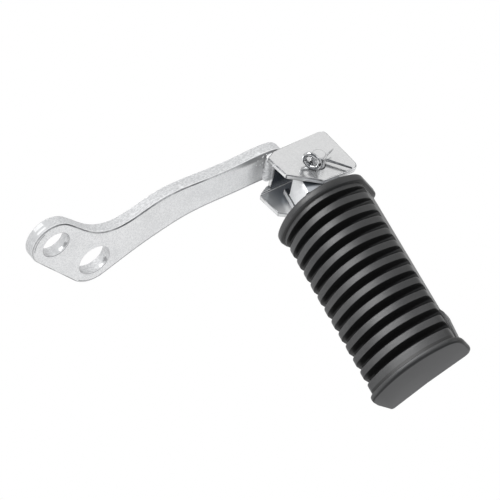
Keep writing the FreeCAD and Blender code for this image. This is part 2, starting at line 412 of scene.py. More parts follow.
class ShaderTree:
    """Builder for a tree of shader nodes."""

    def __init__(self, tree: bpy.types.NodeTree) -> None:
        """Take the tree to build in."""
        self.tree = tree

    def node(self, kind: str, **props: object) -> bpy.types.Node:
        """Add a node and set its properties.

        Args:
            kind: Node type.
            **props: Node properties.

        Returns:
            The node.
        """
        made = self.tree.nodes.new(kind)
        for key, value in props.items():
            setattr(made, key, value)
        return made

    def put(self, socket: Socket, value: Value) -> None:
        """Link a socket, or set it to a plain value.

        Args:
            socket: Input to set.
            value: Output to link from, or a number, vector or colour.
        """
        if isinstance(value, bpy.types.NodeSocket):
            self.tree.links.new(value, socket)
        elif isinstance(value, tuple) and socket.type == "RGBA":
            socket.default_value = (*value, 1.0)
        else:
            socket.default_value = value

    def math(self, op: str, a: Value, b: Value = 0.0) -> Socket:
        """Add a Math node.

        Args:
            op: Operation.
            a: First value.
            b: Second value.

        Returns:
            The result.
        """
        made = self.node("ShaderNodeMath", operation=op)
        self.put(made.inputs[0], a)
        self.put(made.inputs[1], b)
        return made.outputs[0]

    def times(self, a: Value, b: Value) -> Socket:
        """Product of two values."""
        return self.math("MULTIPLY", a, b)

    def between(self, share: Socket, a: Value, b: Value) -> Socket:
        """Value between two others, by a share of the second."""
        return self.math("ADD", self.times(a, self.math("SUBTRACT", 1.0, share)), self.times(share, b))

    def mix(self, factor: Value, a: Value, b: Value) -> Socket:
        """Mix two colours.

        Args:
            factor: Share of the second.
            a: First colour.
            b: Second colour.

        Returns:
            The mixed colour.
        """
        made = self.node("ShaderNodeMix", data_type="RGBA")
        self.put(made.inputs["Factor"], factor)
        self.put(made.inputs[6], a)
        self.put(made.inputs[7], b)
        return made.outputs[2]

    def layer(self, factor: Value, low: Socket, high: Socket) -> Socket:
        """Mix two shaders.

        Args:
            factor: Share of the second.
            low: First shader.
            high: Second shader.

        Returns:
            The mixed shader.
        """
        made = self.node("ShaderNodeMixShader")
        for key, item in enumerate((factor, low, high)):
            self.put(made.inputs[key], item)
        return made.outputs[0]

    def span(self, value: Value, band: Band, to: Band = UNIT) -> Socket:
        """Ease a value from one range to another, clamped.

        Args:
            value: Value to ease.
            band: Where the change starts and ends.
            to: Results at those two.

        Returns:
            The eased value.
        """
        made = self.node("ShaderNodeMapRange", interpolation_type="SMOOTHSTEP")
        for key, item in enumerate((value, *band, *to)):
            self.put(made.inputs[key], item)
        return made.outputs[0]

    def zone(self, place: Socket, band: Band, to: Band = UNIT) -> Socket:
        """Ease a place in metres over a band in millimetres."""
        return self.span(place, (band[0] * MM, band[1] * MM), to)

    def dot(self, vector: Socket, way: Vector) -> Socket:
        """Component of a vector along a direction.

        Args:
            vector: Vector.
            way: Unit direction.

        Returns:
            The component.
        """
        made = self.node("ShaderNodeVectorMath", operation="DOT_PRODUCT")
        self.put(made.inputs[0], vector)
        made.inputs[1].default_value = way
        return made.outputs["Value"]

    def mirror_rays(self, rays: bpy.types.Node) -> Socket:
        """One for rays that are reflected or pass through, else zero."""
        return self.math("MAXIMUM", rays.outputs["Is Glossy Ray"], rays.outputs["Is Transmission Ray"])


@dataclass(frozen=True)
class Grain:
    """Noise in a finish: grains in a metre, how many finer layers, and their share."""

    scale: float
    detail: float = 3.0
    rough: float = 0.55


class Graph(ShaderTree):
    """Builder for one material, with the piece's own place and normal at hand."""

    def __init__(self, name: str) -> None:
        """Start a material with a plain shader.

        Args:
            name: Material name.
        """
        self.material = bpy.data.materials.new(name)
        self.material.use_nodes = True
        super().__init__(self.material.node_tree)
        self.shader = self.tree.nodes["Principled BSDF"]
        coords = self.node("ShaderNodeTexCoord")
        self.place = coords.outputs["Object"]
        self.normal = coords.outputs["Normal"]

    def set(self, name: str, value: Value) -> None:
        """Put a value or link on the shader."""
        self.put(self.shader.inputs[name], value)

    def scaled(self, size: Point) -> Socket:
        """Object coordinates stretched by three factors.

        Args:
            size: Factors.

        Returns:
            The stretched coordinates.
        """
        made = self.node("ShaderNodeMapping")
        self.put(made.inputs["Vector"], self.place)
        made.inputs["Scale"].default_value = size
        return made.outputs[0]

    def noise(self, grain: Grain, vector: Socket | None = None) -> Socket:
        """Noise value on object coordinates.

        Args:
            grain: Kind of noise.
            vector: Coordinates, where they are stretched.

        Returns:
            The value, about a half.
        """
        made = self.node("ShaderNodeTexNoise")
        self.put(made.inputs["Vector"], vector or self.place)
        made.inputs["Scale"].default_value = grain.scale
        made.inputs["Detail"].default_value = grain.detail
        made.inputs["Roughness"].default_value = grain.rough
        return made.outputs["Fac"]

    def attribute(self, name: str) -> Socket:
        """Value of a mesh attribute."""
        return self.node("ShaderNodeAttribute", attribute_name=name).outputs["Fac"]

    def blend(self, fine: Socket, cloud: Socket, share: float, band: Band) -> Socket:
        """Fine grain and wide clouds in one value.

        Args:
            fine: Fine noise.
            cloud: Wide noise.
            share: Share of the clouds.
            band: Range that is stretched to a whole one.

        Returns:
            The value, from zero to one.
        """
        return self.span(self.math("ADD", self.times(fine, 1.0 - share), self.times(cloud, share)), band)

    def bump(self, height: Socket, strength: float, depth: float) -> Socket:
        """Bump from a height.

        Args:
            height: Height value.
            strength: Share of the bump.
            depth: Height of a full step, in millimetres.

        Returns:
            The normal.
        """
        made = self.node("ShaderNodeBump")
        made.inputs["Strength"].default_value = strength
        made.inputs["Distance"].default_value = depth * MM
        self.put(made.inputs["Height"], height)
        return made.outputs[0]


@dataclass(frozen=True)
class Patch:
    """Ragged patch about a point in the arm's frame."""

    centre: Point
    reach: float


@dataclass(frozen=True)
class PlateZinc:
    """Dull zinc on a blanked plate: grained faces, speckled walls, dark lines where they meet.

    Bands along the arm, across it or outboard are in millimetres. Other bands are of a noise, or of how
    squarely the surface faces outboard.
    """

    light: Colour = (0.93, 0.932, 0.935)
    dark: Colour = (0.735, 0.74, 0.747)
    # Painted light: the face is paler towards the hinge
    painted_near_light: Colour = WHITE
    painted_near_dark: Colour = (0.8, 0.803, 0.806)
    wall: Colour = (0.73, 0.732, 0.735)
    # Dark of the walls' specks, and the painted shade round the pad's shear marks
    wall_speck_and_shade: Colour = (0.54, 0.543, 0.548)
    pit: Colour = (0.33, 0.332, 0.338)
    # Dark colour of the painted edge reflections and of the painted shade on the face
    line: Colour = (0.13, 0.132, 0.138)
    grain: Grain = Grain(1300.0, 5.0, 0.7)
    cloud: Grain = Grain(110.0)
    cloud_share: float = 0.2
    spots: Band = (0.4, 0.6)
    speck: Grain = Grain(1.0, 5.0, 0.75)
    speck_size: Point = (900.0, 1500.0, 900.0)
    specks: Band = (0.4, 0.62)
    pits: Band = (0.36, 0.28)
    near_run: Band = (50.0, 85.0)
    # Painted shade on the face: a toe beside the weld and a brow under the top edge near the hinge
    toe_run: Band = (102.0, 109.0)
    toe_rise: Band = (-6.0, 4.0)
    toe_painted_shade: Band = (0.25, 0.6)
    brow_run: Band = (90.0, 103.0)
    brow_rise: Band = (4.5, 6.5)
    brow_painted_shade: Band = (0.0, 0.8)
    # Painted shade on the strip along the lower rim
    rim_mark: Band = (1.4, 1.6)
    rim_shade_share: float = 0.7
    wall_slope: Band = (0.75, 0.3)
    # Painted dark reflection along the rounded edges, patchy by noise, and a painted glint beside it
    line_slope: tuple[Band, Band] = ((0.4, 0.6), (0.97, 0.85))
    line_noise: Grain = Grain(60.0)
    line_strength: Band = (0.4, 1.0)
    glint_slope: tuple[Band, Band] = ((0.05, 0.15), (0.45, 0.3))
    glint: float = 0.6
    metal: float = 0.7
    near_metal: float = 0.1
    wall_metal: float = 0.45
    rough: Band = (0.42, 0.58)
    rough_grain: Band = (0.3, 0.7)
    wall_rough: float = 0.7
    wall_relief: float = 1.5
    bump: Band = (0.3, 0.06)
    # Painted highlights on two shear marks of the pad's wall, and painted shade on the wall that faces the
    # same way
    nib_angle: float = 125.0
    nib_half: float = 2.5
    nib_rows: tuple[Band, Band] = ((1.4, 1.0), (3.9, 0.6))
    nib_far: Band = (9.0, 9.2)
    nib_fade: Band = (0.2, 0.15)
    nib_highlight: Colour = (0.75, 0.75, 0.752)
    nib_shade: float = 0.75
    nib_slope: Band = (0.8, 0.97)
    nib_run: Band = (12.0, 6.0)
    fray: float = 4.0
    fray_grain: Grain = Grain(700.0)
    patch_core: float = 0.55
    # Painted highlights and dark patches on the hole walls
    hole_glints: tuple[Patch, ...] = (Patch((3.9, -5.2, 4.6), 1.2), Patch((26.6, -25.7, 5.0), 1.3))
    hole_dark_patches: tuple[Patch, ...] = (Patch((5.7, -3.4, 4.8), 1.5), Patch((28.9, -23.2, 4.8), 1.6))

    def material(self) -> bpy.types.Material:
        """Build the material.

        Returns:
            The finish of the plate arm.
        """
        g = Graph("plate zinc")
        fine = g.noise(self.grain)
        speck = g.noise(self.speck, g.scaled(self.speck_size))
        run = g.dot(g.place, AXES.along)
        square = g.math("ABSOLUTE", g.dot(g.normal, AXES.out))
        wall = g.span(square, self.wall_slope)
        colour = g.mix(wall, self.face_tone(g, fine, run), self.wall_colour(g, speck, run))
        g.set("Base Color", self.edge_lines(g, colour, square))
        bare = g.zone(run, self.near_run, (self.metal, self.near_metal))
        g.set("Metallic", g.between(wall, bare, self.wall_metal))
        g.set("Roughness", g.between(wall, g.span(fine, self.rough_grain, self.rough), self.wall_rough))
        relief = g.math("ADD", fine, g.times(g.times(speck, wall), self.wall_relief))
        g.set("Normal", g.bump(relief, *self.bump))
        return g.material

    def face_tone(self, g: Graph, fine: Socket, run: Socket) -> Socket:
        """Colour of the outboard face: painted light near the hinge, painted shade by the weld, top edge and
        rim.

        Args:
            g: Graph to build in.
            fine: Fine grain.
            run: Distance along the arm.

        Returns:
            The colour.
        """
        spot = g.blend(fine, g.noise(self.cloud), self.cloud_share, self.spots)
        # Painted light: paler towards the hinge
        near = g.zone(run, self.near_run)
        face = g.mix(spot, g.mix(near, self.dark, self.painted_near_dark), g.mix(near, self.light, self.painted_near_light))
        # Painted shade: a toe beside the weld and a brow under the top edge
        rise = g.dot(g.place, AXES.up)
        toe_shade = g.times(g.zone(run, self.toe_run), g.zone(rise, self.toe_rise, self.toe_painted_shade))
        brow_shade = g.times(g.zone(run, self.brow_run), g.zone(rise, self.brow_rise, self.brow_painted_shade))
        face = g.mix(g.math("MAXIMUM", toe_shade, brow_shade), face, self.line)
        # Painted shade on the lower rim's strip
        rim = g.span(g.attribute("edge"), self.rim_mark, (0.0, self.rim_shade_share))
        return g.mix(rim, face, self.line)

    def wall_colour(self, g: Graph, speck: Socket, run: Socket) -> Socket:
        """Colour of the blanked wall: specks, pits, painted shade and highlights at the shear marks, patches
        in the holes.

        Args:
            g: Graph to build in.
            speck: Noise stretched across the wall.
            run: Distance along the arm.

        Returns:
            The colour.
        """
        wall = g.mix(g.span(speck, self.specks), self.wall_speck_and_shade, self.wall)
        wall = g.mix(g.span(speck, self.pits), wall, self.pit)
        # Painted shade on the wall round the shear marks, then their painted highlights
        facing = g.span(g.dot(g.normal, self.nib_way()), self.nib_slope)
        about = g.times(facing, g.zone(run, self.nib_run))
        wall = g.mix(g.times(about, self.nib_shade), wall, self.wall_speck_and_shade)
        wall = g.mix(self.nib(g), wall, self.nib_highlight)
        # Dark patches, then painted highlights, on the hole walls
        wall = g.mix(self.patches(g, self.hole_dark_patches), wall, self.pit)
        return g.mix(self.patches(g, self.hole_glints), wall, self.light)

    def edge_lines(self, g: Graph, colour: Socket, square: Socket) -> Socket:
        """Painted dark reflection, patchy by noise, and a painted glint along the rounded edges.

        Args:
            g: Graph to build in.
            colour: Colour under the lines.
            square: How squarely the surface faces outboard.

        Returns:
            The colour with its lines.
        """
        meet, glint = (g.times(g.span(square, rise), g.span(square, fall))
                       for rise, fall in (self.line_slope, self.glint_slope))
        patchy = g.span(g.noise(self.line_noise), self.spots, self.line_strength)
        colour = g.mix(g.times(meet, patchy), colour, self.line)
        return g.mix(g.times(glint, self.glint), colour, WHITE)

    def patches(self, g: Graph, spots: tuple[Patch, ...]) -> Socket:
        """Ragged patches.

        Args:
            g: Graph to build in.
            spots: Patches in the arm's frame.

        Returns:
            One inside a patch, falling to zero at its reach.
        """
        found: Value = 0.0
        ragged = g.times(g.math("SUBTRACT", g.noise(self.fray_grain), NOISE_MIDDLE), self.fray * MM)
        for spot in spots:
            gap = g.node("ShaderNodeVectorMath", operation="DISTANCE")
            g.put(gap.inputs[0], g.place)
            g.put(gap.inputs[1], tuple(AXES.arm() @ Vector(spot.centre)))
            frayed = g.math("ADD", gap.outputs["Value"], ragged)
            found = g.math("MAXIMUM", found, g.zone(frayed, (spot.reach, self.patch_core * spot.reach)))
        return found

    def nib_way(self) -> Vector:
        """Direction from the pad's centre to its shear marks."""
        a = math.radians(self.nib_angle)
        return AXES.turned(math.cos(a), math.sin(a))

    def nib(self, g: Graph) -> Socket:
        """Painted highlights on two shear marks of the pad's wall, one above the other.

        Args:
            g: Graph to build in.

        Returns:
            One on the marks.
        """
        out = self.nib_way()
        side = AXES.out.cross(out)
        pad = AXES.arm() @ Vector(AXES.pad)
        aside = g.math("ABSOLUTE", g.math("SUBTRACT", g.dot(g.place, side), pad.dot(side)))
        far = g.zone(g.math("SUBTRACT", g.dot(g.place, out), pad.dot(out)), self.nib_far)
        mark = g.times(g.zone(aside, (self.nib_half, self.nib_half - self.nib_fade[0])), far)
        rows = []
        for depth, reach in self.nib_rows:
            off = g.math("ABSOLUTE", g.math("SUBTRACT", g.dot(g.place, AXES.out), depth * MM))
            rows.append(g.zone(off, (reach, reach - self.nib_fade[1])))
        return g.times(mark, g.math("MAXIMUM", *rows))


@dataclass(frozen=True)
class BrightZinc:
    """Bright zinc on turned steel, with painted dark reflections along its rounded edges."""

    name: str = "turned zinc"
    light: Colour = (0.695, 0.697, 0.697)
    dark: Colour = (0.65, 0.652, 0.655)
    # Painted dark reflection along the rounded edges
    line: Colour = (0.13, 0.134, 0.142)
    line_share: float = 0.45
    line_least: float = 0.5
    line_noise: Grain = Grain(330.0, 2.0)
    line_strength: Band = (0.32, 0.6)
    low_lines: Band = (-14.0, -12.0)
    low_share: float = 0.35
    grain: Grain = Grain(900.0, 4.0, 0.65)
    cloud: Grain = Grain(140.0, 2.0)
    cloud_share: float = 0.25
    tones: Band = (0.38, 0.62)
    metal: float = 0.85
    rough: Band = (0.17, 0.24)
    rough_cloud: Band = (0.3, 0.7)
    bump: Band = (0.25, 0.02)

    def material(self) -> bpy.types.Material:
        """Build the material.

        Returns:
            The finish.
        """
        g = Graph(self.name)
        fine, cloud = g.noise(self.grain), g.noise(self.cloud)
        tone = g.blend(fine, cloud, self.cloud_share, self.tones)
        colour = self.zones(g, g.mix(tone, self.dark, self.light))
        colour = g.mix(self.lines(g), colour, self.line)
        g.set("Base Color", self.glint(g, colour))
        g.set("Metallic", self.bare(g))
        g.set("Roughness", g.span(cloud, self.rough_cloud, self.rough))
        g.set("Normal", g.bump(fine, *self.bump))
        return g.material

    def lines(self, g: Graph) -> Socket:
        """Painted dark reflections along the rounded edges, patchy by noise and fainter low down.

        Args:
            g: Graph to build in.

        Returns:
            Share of the line's colour.
        """
        share = (self.line_least * self.line_share, self.line_share)
        patchy = g.span(g.noise(self.line_noise), self.line_strength, share)
        faint = g.zone(g.dot(g.place, AXES.up), self.low_lines, (self.low_share, 1.0))
        return g.times(g.times(g.attribute("edge"), patchy), faint)

    def zones(self, g: Graph, colour: Socket) -> Socket:
        """Colour with the piece's painted shade and zones: plain here."""
        return colour

    def glint(self, g: Graph, colour: Socket) -> Socket:
        """Colour with a painted highlight on the folds: none here."""
        return colour

    def bare(self, g: Graph) -> Value:
        """How metallic the surface is."""
        return self.metal


@dataclass(frozen=True)
class FoldedZinc(BrightZinc):
    """Bright zinc on the folded clevis: painted shade on web and lower ear, pale walls, a painted fold
    highlight.

    Bands along the arm, across it or outboard are in millimetres. Slopes are of the surface's normal.
    """

    name: str = "bright zinc"
    line_share: float = 1.0
    # Painted shade on the web's outboard face, lighter at its foot, and painted light and shade on the lower
    # ear
    shade: Colour = (0.27, 0.295, 0.335)
    foot: Colour = (0.8, 0.81, 0.83)
    ear_open_light: Colour = WHITE
    ear_half_shade: Colour = (0.62, 0.635, 0.65)
    ear_deep_shade: Colour = (0.38, 0.4, 0.43)
    wall_tone: Colour = (0.84, 0.842, 0.845)
    web_slope: Band = (0.7, 0.95)
    web_out: Band = (14.0, 11.0)
    foot_rise: Band = (-8.5, -12.5)
    ear_slope: Band = (0.9, 0.97)
    ear_rise: Band = (-9.0, -11.0)
    deep_run: Band = (111.5, 119.0)
    light_out: Band = (17.5, 22.5)
    wall_slope: Band = (0.5, 0.25)
    wall_out: Band = (12.5, 14.0)
    fold_highlight_slope: Band = (0.86, 0.95)
    fold_dull: float = 1.8
    dull: float = 0.45

    def ear(self, g: Graph) -> Socket:
        """One on the upper face of the lower ear."""
        level = g.span(g.dot(g.normal, AXES.up), self.ear_slope)
        return g.times(level, g.zone(g.dot(g.place, AXES.up), self.ear_rise))

    def walls(self, g: Graph) -> Socket:
        """One on the ears' cut walls, outboard of the web."""
        upright = g.span(g.math("ABSOLUTE", g.dot(g.normal, AXES.up)), self.wall_slope)
        return g.times(upright, g.zone(g.dot(g.place, AXES.out), self.wall_out))

    def folds(self, g: Graph) -> Socket:
        """One along the upper fold, where a highlight is painted."""
        return g.span(g.dot(g.normal, (AXES.up + AXES.out).normalized()), self.fold_highlight_slope)

    def zones(self, g: Graph, colour: Socket) -> Socket:
        """Colour with painted shade on the web's outboard face and the lower ear, and the cut walls' pale
        tone.

        Args:
            g: Graph to build in.
            colour: Plain colour.

        Returns:
            The colour with its zones.
        """
        run, rise, out = (g.dot(g.place, way) for way in (AXES.along, AXES.up, AXES.out))
        # Painted shade on the web's outboard face, lighter towards its foot
        inside = g.times(g.span(g.dot(g.normal, AXES.out), self.web_slope), g.zone(out, self.web_out))
        colour = g.mix(inside, colour, g.mix(g.zone(rise, self.foot_rise), self.shade, self.foot))
        # Painted shade on the lower ear, darker along the arm and lit outboard
        ear_shade = g.mix(g.zone(run, self.deep_run), self.ear_half_shade, self.ear_deep_shade)
        ear_shade = g.mix(g.zone(out, self.light_out), ear_shade, self.ear_open_light)
        colour = g.mix(self.ear(g), colour, ear_shade)
        return g.mix(self.walls(g), colour, self.wall_tone)

    def glint(self, g: Graph, colour: Socket) -> Socket:
        """Colour with a painted highlight along the upper fold."""
        return g.mix(self.folds(g), colour, WHITE)

    def bare(self, g: Graph) -> Socket:
        """How metallic the surface is: less on the lower ear, the walls and the fold.

        Args:
            g: Graph to build in.

        Returns:
            The share of metal.
        """
        plain = g.math("MAXIMUM", self.ear(g), self.walls(g))
        plain = g.math("MAXIMUM", plain, g.times(self.folds(g), self.fold_dull))
        return g.math("SUBTRACT", self.metal, g.times(plain, self.dull))


@dataclass(frozen=True)
class CoreSteel(BrightZinc):
    """Pale plating on the peg's head: painted shade on its level faces, a painted shadow under the upper ear.
    """

    name: str = "core steel"
    light: Colour = (0.99, 0.99, 0.995)
    dark: Colour = (0.92, 0.925, 0.93)
    line_share: float = 1.0
    metal: float = 0.2
    rough: Band = (0.3, 0.4)
    # Painted shade on the level faces and a painted shadow under the upper ear
    shade: Colour = (0.27, 0.295, 0.335)
    shade_share: float = 0.7
    under: Colour = (0.06, 0.068, 0.08)
    level_slope: Band = (0.9, 0.97)
    ear_shadow_reach: Band = (11.2, 9.5)

    def zones(self, g: Graph, colour: Socket) -> Socket:
        """Colour with painted shade on the level faces and a painted shadow under the upper ear.

        Args:
            g: Graph to build in.
            colour: Plain colour.

        Returns:
            The colour with its shade.
        """
        peg = AXES.peg(False)
        along = peg.col[2].to_3d().normalized()
        reach = g.math("SUBTRACT", g.dot(g.place, along), along.dot(peg.translation))
        level = g.span(g.dot(g.normal, AXES.up), self.level_slope)
        colour = g.mix(g.times(level, self.shade_share), colour, self.shade)
        return g.mix(g.times(level, g.zone(reach, self.ear_shadow_reach)), colour, self.under)


@dataclass(frozen=True)
class WeldMetal(BrightZinc):
    """Plating over weld ripples: pale and smooth, with no lines."""

    name: str = "weld metal"
    light: Colour = WHITE
    dark: Colour = (0.86, 0.86, 0.87)
    line_share: float = 0.0
    metal: float = 0.08
    rough: Band = (0.16, 0.28)


@dataclass(frozen=True)
class PinSteel(BrightZinc):
    """Dark polished wire."""

    name: str = "pin steel"
    light: Colour = (0.6, 0.605, 0.61)
    dark: Colour = (0.3, 0.305, 0.31)
    metal: float = 1.0
    rough: Band = (0.05, 0.1)


@dataclass(frozen=True)
class TreadRubber:
    """Moulded rubber: abraded grey lands, black grooves and creases with painted shade, fine bloom."""

    land: Colour = (0.034, 0.034, 0.035)
    bloom: Colour = (0.052, 0.052, 0.053)
    dust: Colour = (0.16, 0.16, 0.16)
    groove: Colour = (0.010, 0.010, 0.010)
    end: Colour = (0.075, 0.075, 0.076)
    grain: Grain = Grain(1600.0, 3.0, 0.6)
    cloud: Grain = Grain(60.0)
    blooms: Band = (0.35, 0.7)
    dusting: Band = (0.4, 0.7)
    dust_share: float = 0.1
    # Painted shade on the right-facing side
    right_slope: Band = (0.12, 0.5)
    right_painted_shade: float = 0.7
    end_slope: Band = (0.9, 0.97)
    tread: Band = (0.86, 0.98)
    rough: Band = (0.36, 0.44)
    rough_cloud: Band = (0.3, 0.7)
    shine: float = 0.5
    bump: Band = (0.25, 0.03)

    def material(self) -> bpy.types.Material:
        """Build the material.

        Returns:
            The finish of the sleeve, which reads the sleeve's own attribute tread.
        """
        g = Graph("tread rubber")
        fine, cloud = g.noise(self.grain), g.noise(self.cloud)
        peg = AXES.peg(True)
        right, out = (peg.col[n].to_3d().normalized() for n in (0, 2))
        top = g.mix(g.span(cloud, self.blooms), self.land, self.bloom)
        top = g.mix(g.span(fine, self.dusting, (0.0, self.dust_share)), top, self.dust)
        # Painted shade: the right-facing side darkens towards the grooves' black
        shade = g.span(g.dot(g.normal, right), self.right_slope, (0.0, self.right_painted_shade))
        top = g.mix(shade, top, self.groove)
        top = g.mix(g.span(g.dot(g.normal, out), self.end_slope), top, self.end)
        # The grooves' black is the rubber's own colour and painted shade; lower tread values paint shade in
        # the creases
        g.set("Base Color", g.mix(g.span(g.attribute("tread"), self.tread), self.groove, top))
        g.set("Roughness", g.span(cloud, self.rough_cloud, self.rough))
        g.set("Specular IOR Level", self.shine)
        g.set("Normal", g.bump(fine, *self.bump))
        return g.material


@dataclass
class Wire:
    """Round or half-round wire swept along a smooth line."""

    points: list[Point]
    radius: float
    flat: Point = (0.0, 0.0, 0.0)
    tip: float = 1.0
    sides: int = 12
    steps: int = 8
    flat_at: float = 0.15
    taper_from: float = 0.6
    least: float = 0.05

    def line(self) -> list[Vector]:
        """Smooth the wire's points.

        Returns:
            Points along its centre line.
        """
        curve = bpy.data.curves.new("wire line", "CURVE")
        curve.dimensions = "3D"
        spline = curve.splines.new("NURBS")
        spline.points.add(len(self.points) - 1)
        for slot, p in zip(spline.points, self.points):
            slot.co = (*p, 1.0)
        spline.order_u, spline.use_endpoint_u, spline.resolution_u = 3, True, self.steps
        holder = add_piece("wire line", curve)
        mesh = evaluated(holder)
        found = [v.co.copy() for v in mesh.vertices]
        bpy.data.objects.remove(holder)
        bpy.data.curves.remove(curve)
        bpy.data.meshes.remove(mesh)
        return found

    def section(self, ahead: Vector, radius: float) -> list[Vector]:
        """Wire's section, cut off on its flat side.

        Args:
            ahead: Unit direction of the wire.
            radius: Radius here.

        Returns:
            Offsets from the centre line.
        """
        side = ahead.cross(Vector((0.0, 1.0, 0.0)))
        side = side.normalized() if side.length > self.least else Vector((1.0, 0.0, 0.0))
        up = side.cross(ahead).normalized()
        flat = Vector(self.flat)
        face = flat - ahead * flat.dot(ahead)
        face = face.normalized() if face.length > self.least else face
        found = []
        for n in range(self.sides):
            a = 2.0 * math.pi * n / self.sides
            offset = side * math.cos(a) * radius + up * math.sin(a) * radius
            over = offset.dot(face) - self.flat_at * radius
            found.append(offset - face * over if over > 0.0 else offset)
        return found

    def add_to(self, bm: bmesh.types.BMesh) -> None:
        """Sweep the wire into a bmesh.

        Args:
            bm: Target, in the wire's own frame.
        """
        line = self.line()
        last = len(line) - 1
        rings = []
        for i, p in enumerate(line):
            ahead = (line[min(i + 1, last)] - line[max(i - 1, 0)]).normalized()
            late = max(0.0, i / last - self.taper_from) / (1.0 - self.taper_from)
            radius = self.radius * (1.0 - (1.0 - self.tip) * late)
            rings.append([bm.verts.new(p + offset) for offset in self.section(ahead, radius)])
        bridge(bm, rings)
        bm.faces.new(list(reversed(rings[0])))
        bm.faces.new(rings[-1])


class FieldNodes:
    """Builder for a Geometry Nodes tree with named inputs."""

    def __init__(self, name: str) -> None:
        """Start a tree with one geometry input and output.

        Args:
            name: Tree name.
        """
        self.tree = bpy.data.node_groups.new(name, "GeometryNodeTree")
        for side in ("INPUT", "OUTPUT"):
            self.tree.interface.new_socket("Geometry", in_out=side, socket_type="NodeSocketGeometry")
        self.entry = self.tree.nodes.new("NodeGroupInput")
        self.exit = self.tree.nodes.new("NodeGroupOutput")
        self.values: dict[str, object] = {}

    def input(self, name: str, kind: str, value: object) -> Socket:
        """Add a named input and remember its value.

        Args:
            name: Input name.
            kind: Socket type.
            value: Value for the modifier.

        Returns:
            The input's socket.
        """
        self.tree.interface.new_socket(name, in_out="INPUT", socket_type=kind)
        self.values[name] = value
        return self.entry.outputs[name]

    def number(self, name: str, value: float) -> Socket:
        """Add a named decimal input."""
        return self.input(name, "NodeSocketFloat", value)

    def count(self, name: str, value: int) -> Socket:
        """Add a named whole-number input."""
        return self.input(name, "NodeSocketInt", value)

    def vector(self, name: str, value: Point) -> Socket:
        """Add a named vector input."""
        return self.input(name, "NodeSocketVector", value)

    def node(self, kind: str, links: dict[object, object], **props: object) -> bpy.types.Node:
        """Add a node, set its properties, then its inputs.

        Args:
            kind: Node type.
            links: Input name or index to a socket or plain value.
            **props: Node properties.

        Returns:
            The node.
        """
        made = self.tree.nodes.new(kind)
        for key, value in props.items():
            setattr(made, key, value)
        for key, value in links.items():
            if isinstance(value, bpy.types.NodeSocket):
                self.tree.links.new(value, made.inputs[key])
            else:
                made.inputs[key].default_value = value
        return made

    def math(self, op: str, a: Value, b: Value = 0.0) -> Socket:
        """Add a Math node and return its result."""
        return self.node("ShaderNodeMath", {0: a, 1: b}, operation=op).outputs[0]

    def times(self, a: Value, b: Value) -> Socket:
        """Product of two values."""
        return self.math("MULTIPLY", a, b)

    def plus(self, a: Value, b: Value) -> Socket:
        """Sum of two values."""
        return self.math("ADD", a, b)

    def minus(self, a: Value, b: Value) -> Socket:
        """Difference of two values."""
        return self.math("SUBTRACT", a, b)

    def point(self, x: Value = 0.0, y: Value = 0.0, z: Value = 0.0) -> Socket:
        """Vector of three values."""
        return self.node("ShaderNodeCombineXYZ", {"X": x, "Y": y, "Z": z}).outputs[0]

    def stored(self, name: str) -> Socket:
        """Read a decimal attribute of the mesh."""
        return self.node("GeometryNodeInputNamedAttribute", {"Name": name}, data_type="FLOAT").outputs[0]

    def joined(self, *sources: Socket) -> Socket:
        """Join several geometries.

        Args:
            *sources: Geometries in order.

        Returns:
            The joined geometry.
        """
        whole = self.node("GeometryNodeJoinGeometry", {})
        for source in sources:
            self.tree.links.new(source, whole.inputs[0])
        return whole.outputs[0]

    def finish(self, geometry: Socket, material: bpy.types.Material) -> None:
        """End the tree in Realize Instances and Set Material.

        Args:
            geometry: Geometry to give out.
            material: Its finish.
        """
        paint = self.input("Finish", "NodeSocketMaterial", material)
        real = self.node("GeometryNodeRealizeInstances", {0: geometry})
        done = self.node("GeometryNodeSetMaterial", {"Geometry": real.outputs[0], "Material": paint})
        self.tree.links.new(done.outputs[0], self.exit.inputs[0])

    def run(self, piece: bpy.types.Object) -> None:
        """Run the tree on a piece and leave it a plain mesh.

        Args:
            piece: Piece to change.
        """
        modifier = piece.modifiers.new(self.tree.name, "NODES")
        modifier.node_group = self.tree
        for item in self.tree.interface.items_tree:
            if item.in_out == "INPUT" and item.name in self.values:
                modifier[item.identifier] = self.values[item.name]
        bake(piece)


@dataclass(frozen=True)
class Ring:
    """One station of the rubber: where along the peg, and how its section differs from a plain land."""

    along: float
    sunk: float = 0.0
    swell: float = 0.0
    shade: float = 1.0
    slide: float = 0.0
    wide: float = 0.0


@dataclass(frozen=True)
class Bead:
    """Bead at one end of the rubber. A profile's points are a distance, a drop and a painted shade."""

    start: float
    stop: float
    from_start: Profile
    from_stop: Profile
    slide: float
    wide: float

    def rings(self, swell: float) -> list[Ring]:
        """Stations of the bead.

        Args:
            swell: Height of the bead over the lands.

        Returns:
            The stations in order along the peg.
        """
        steps = [(self.start + s, drop, shade) for s, drop, shade in self.from_start]
        steps += [(self.stop + s, drop, shade) for s, drop, shade in self.from_stop]
        return [Ring(s, swell=swell - drop, shade=shade, slide=self.slide, wide=self.wide)
                for s, drop, shade in steps]


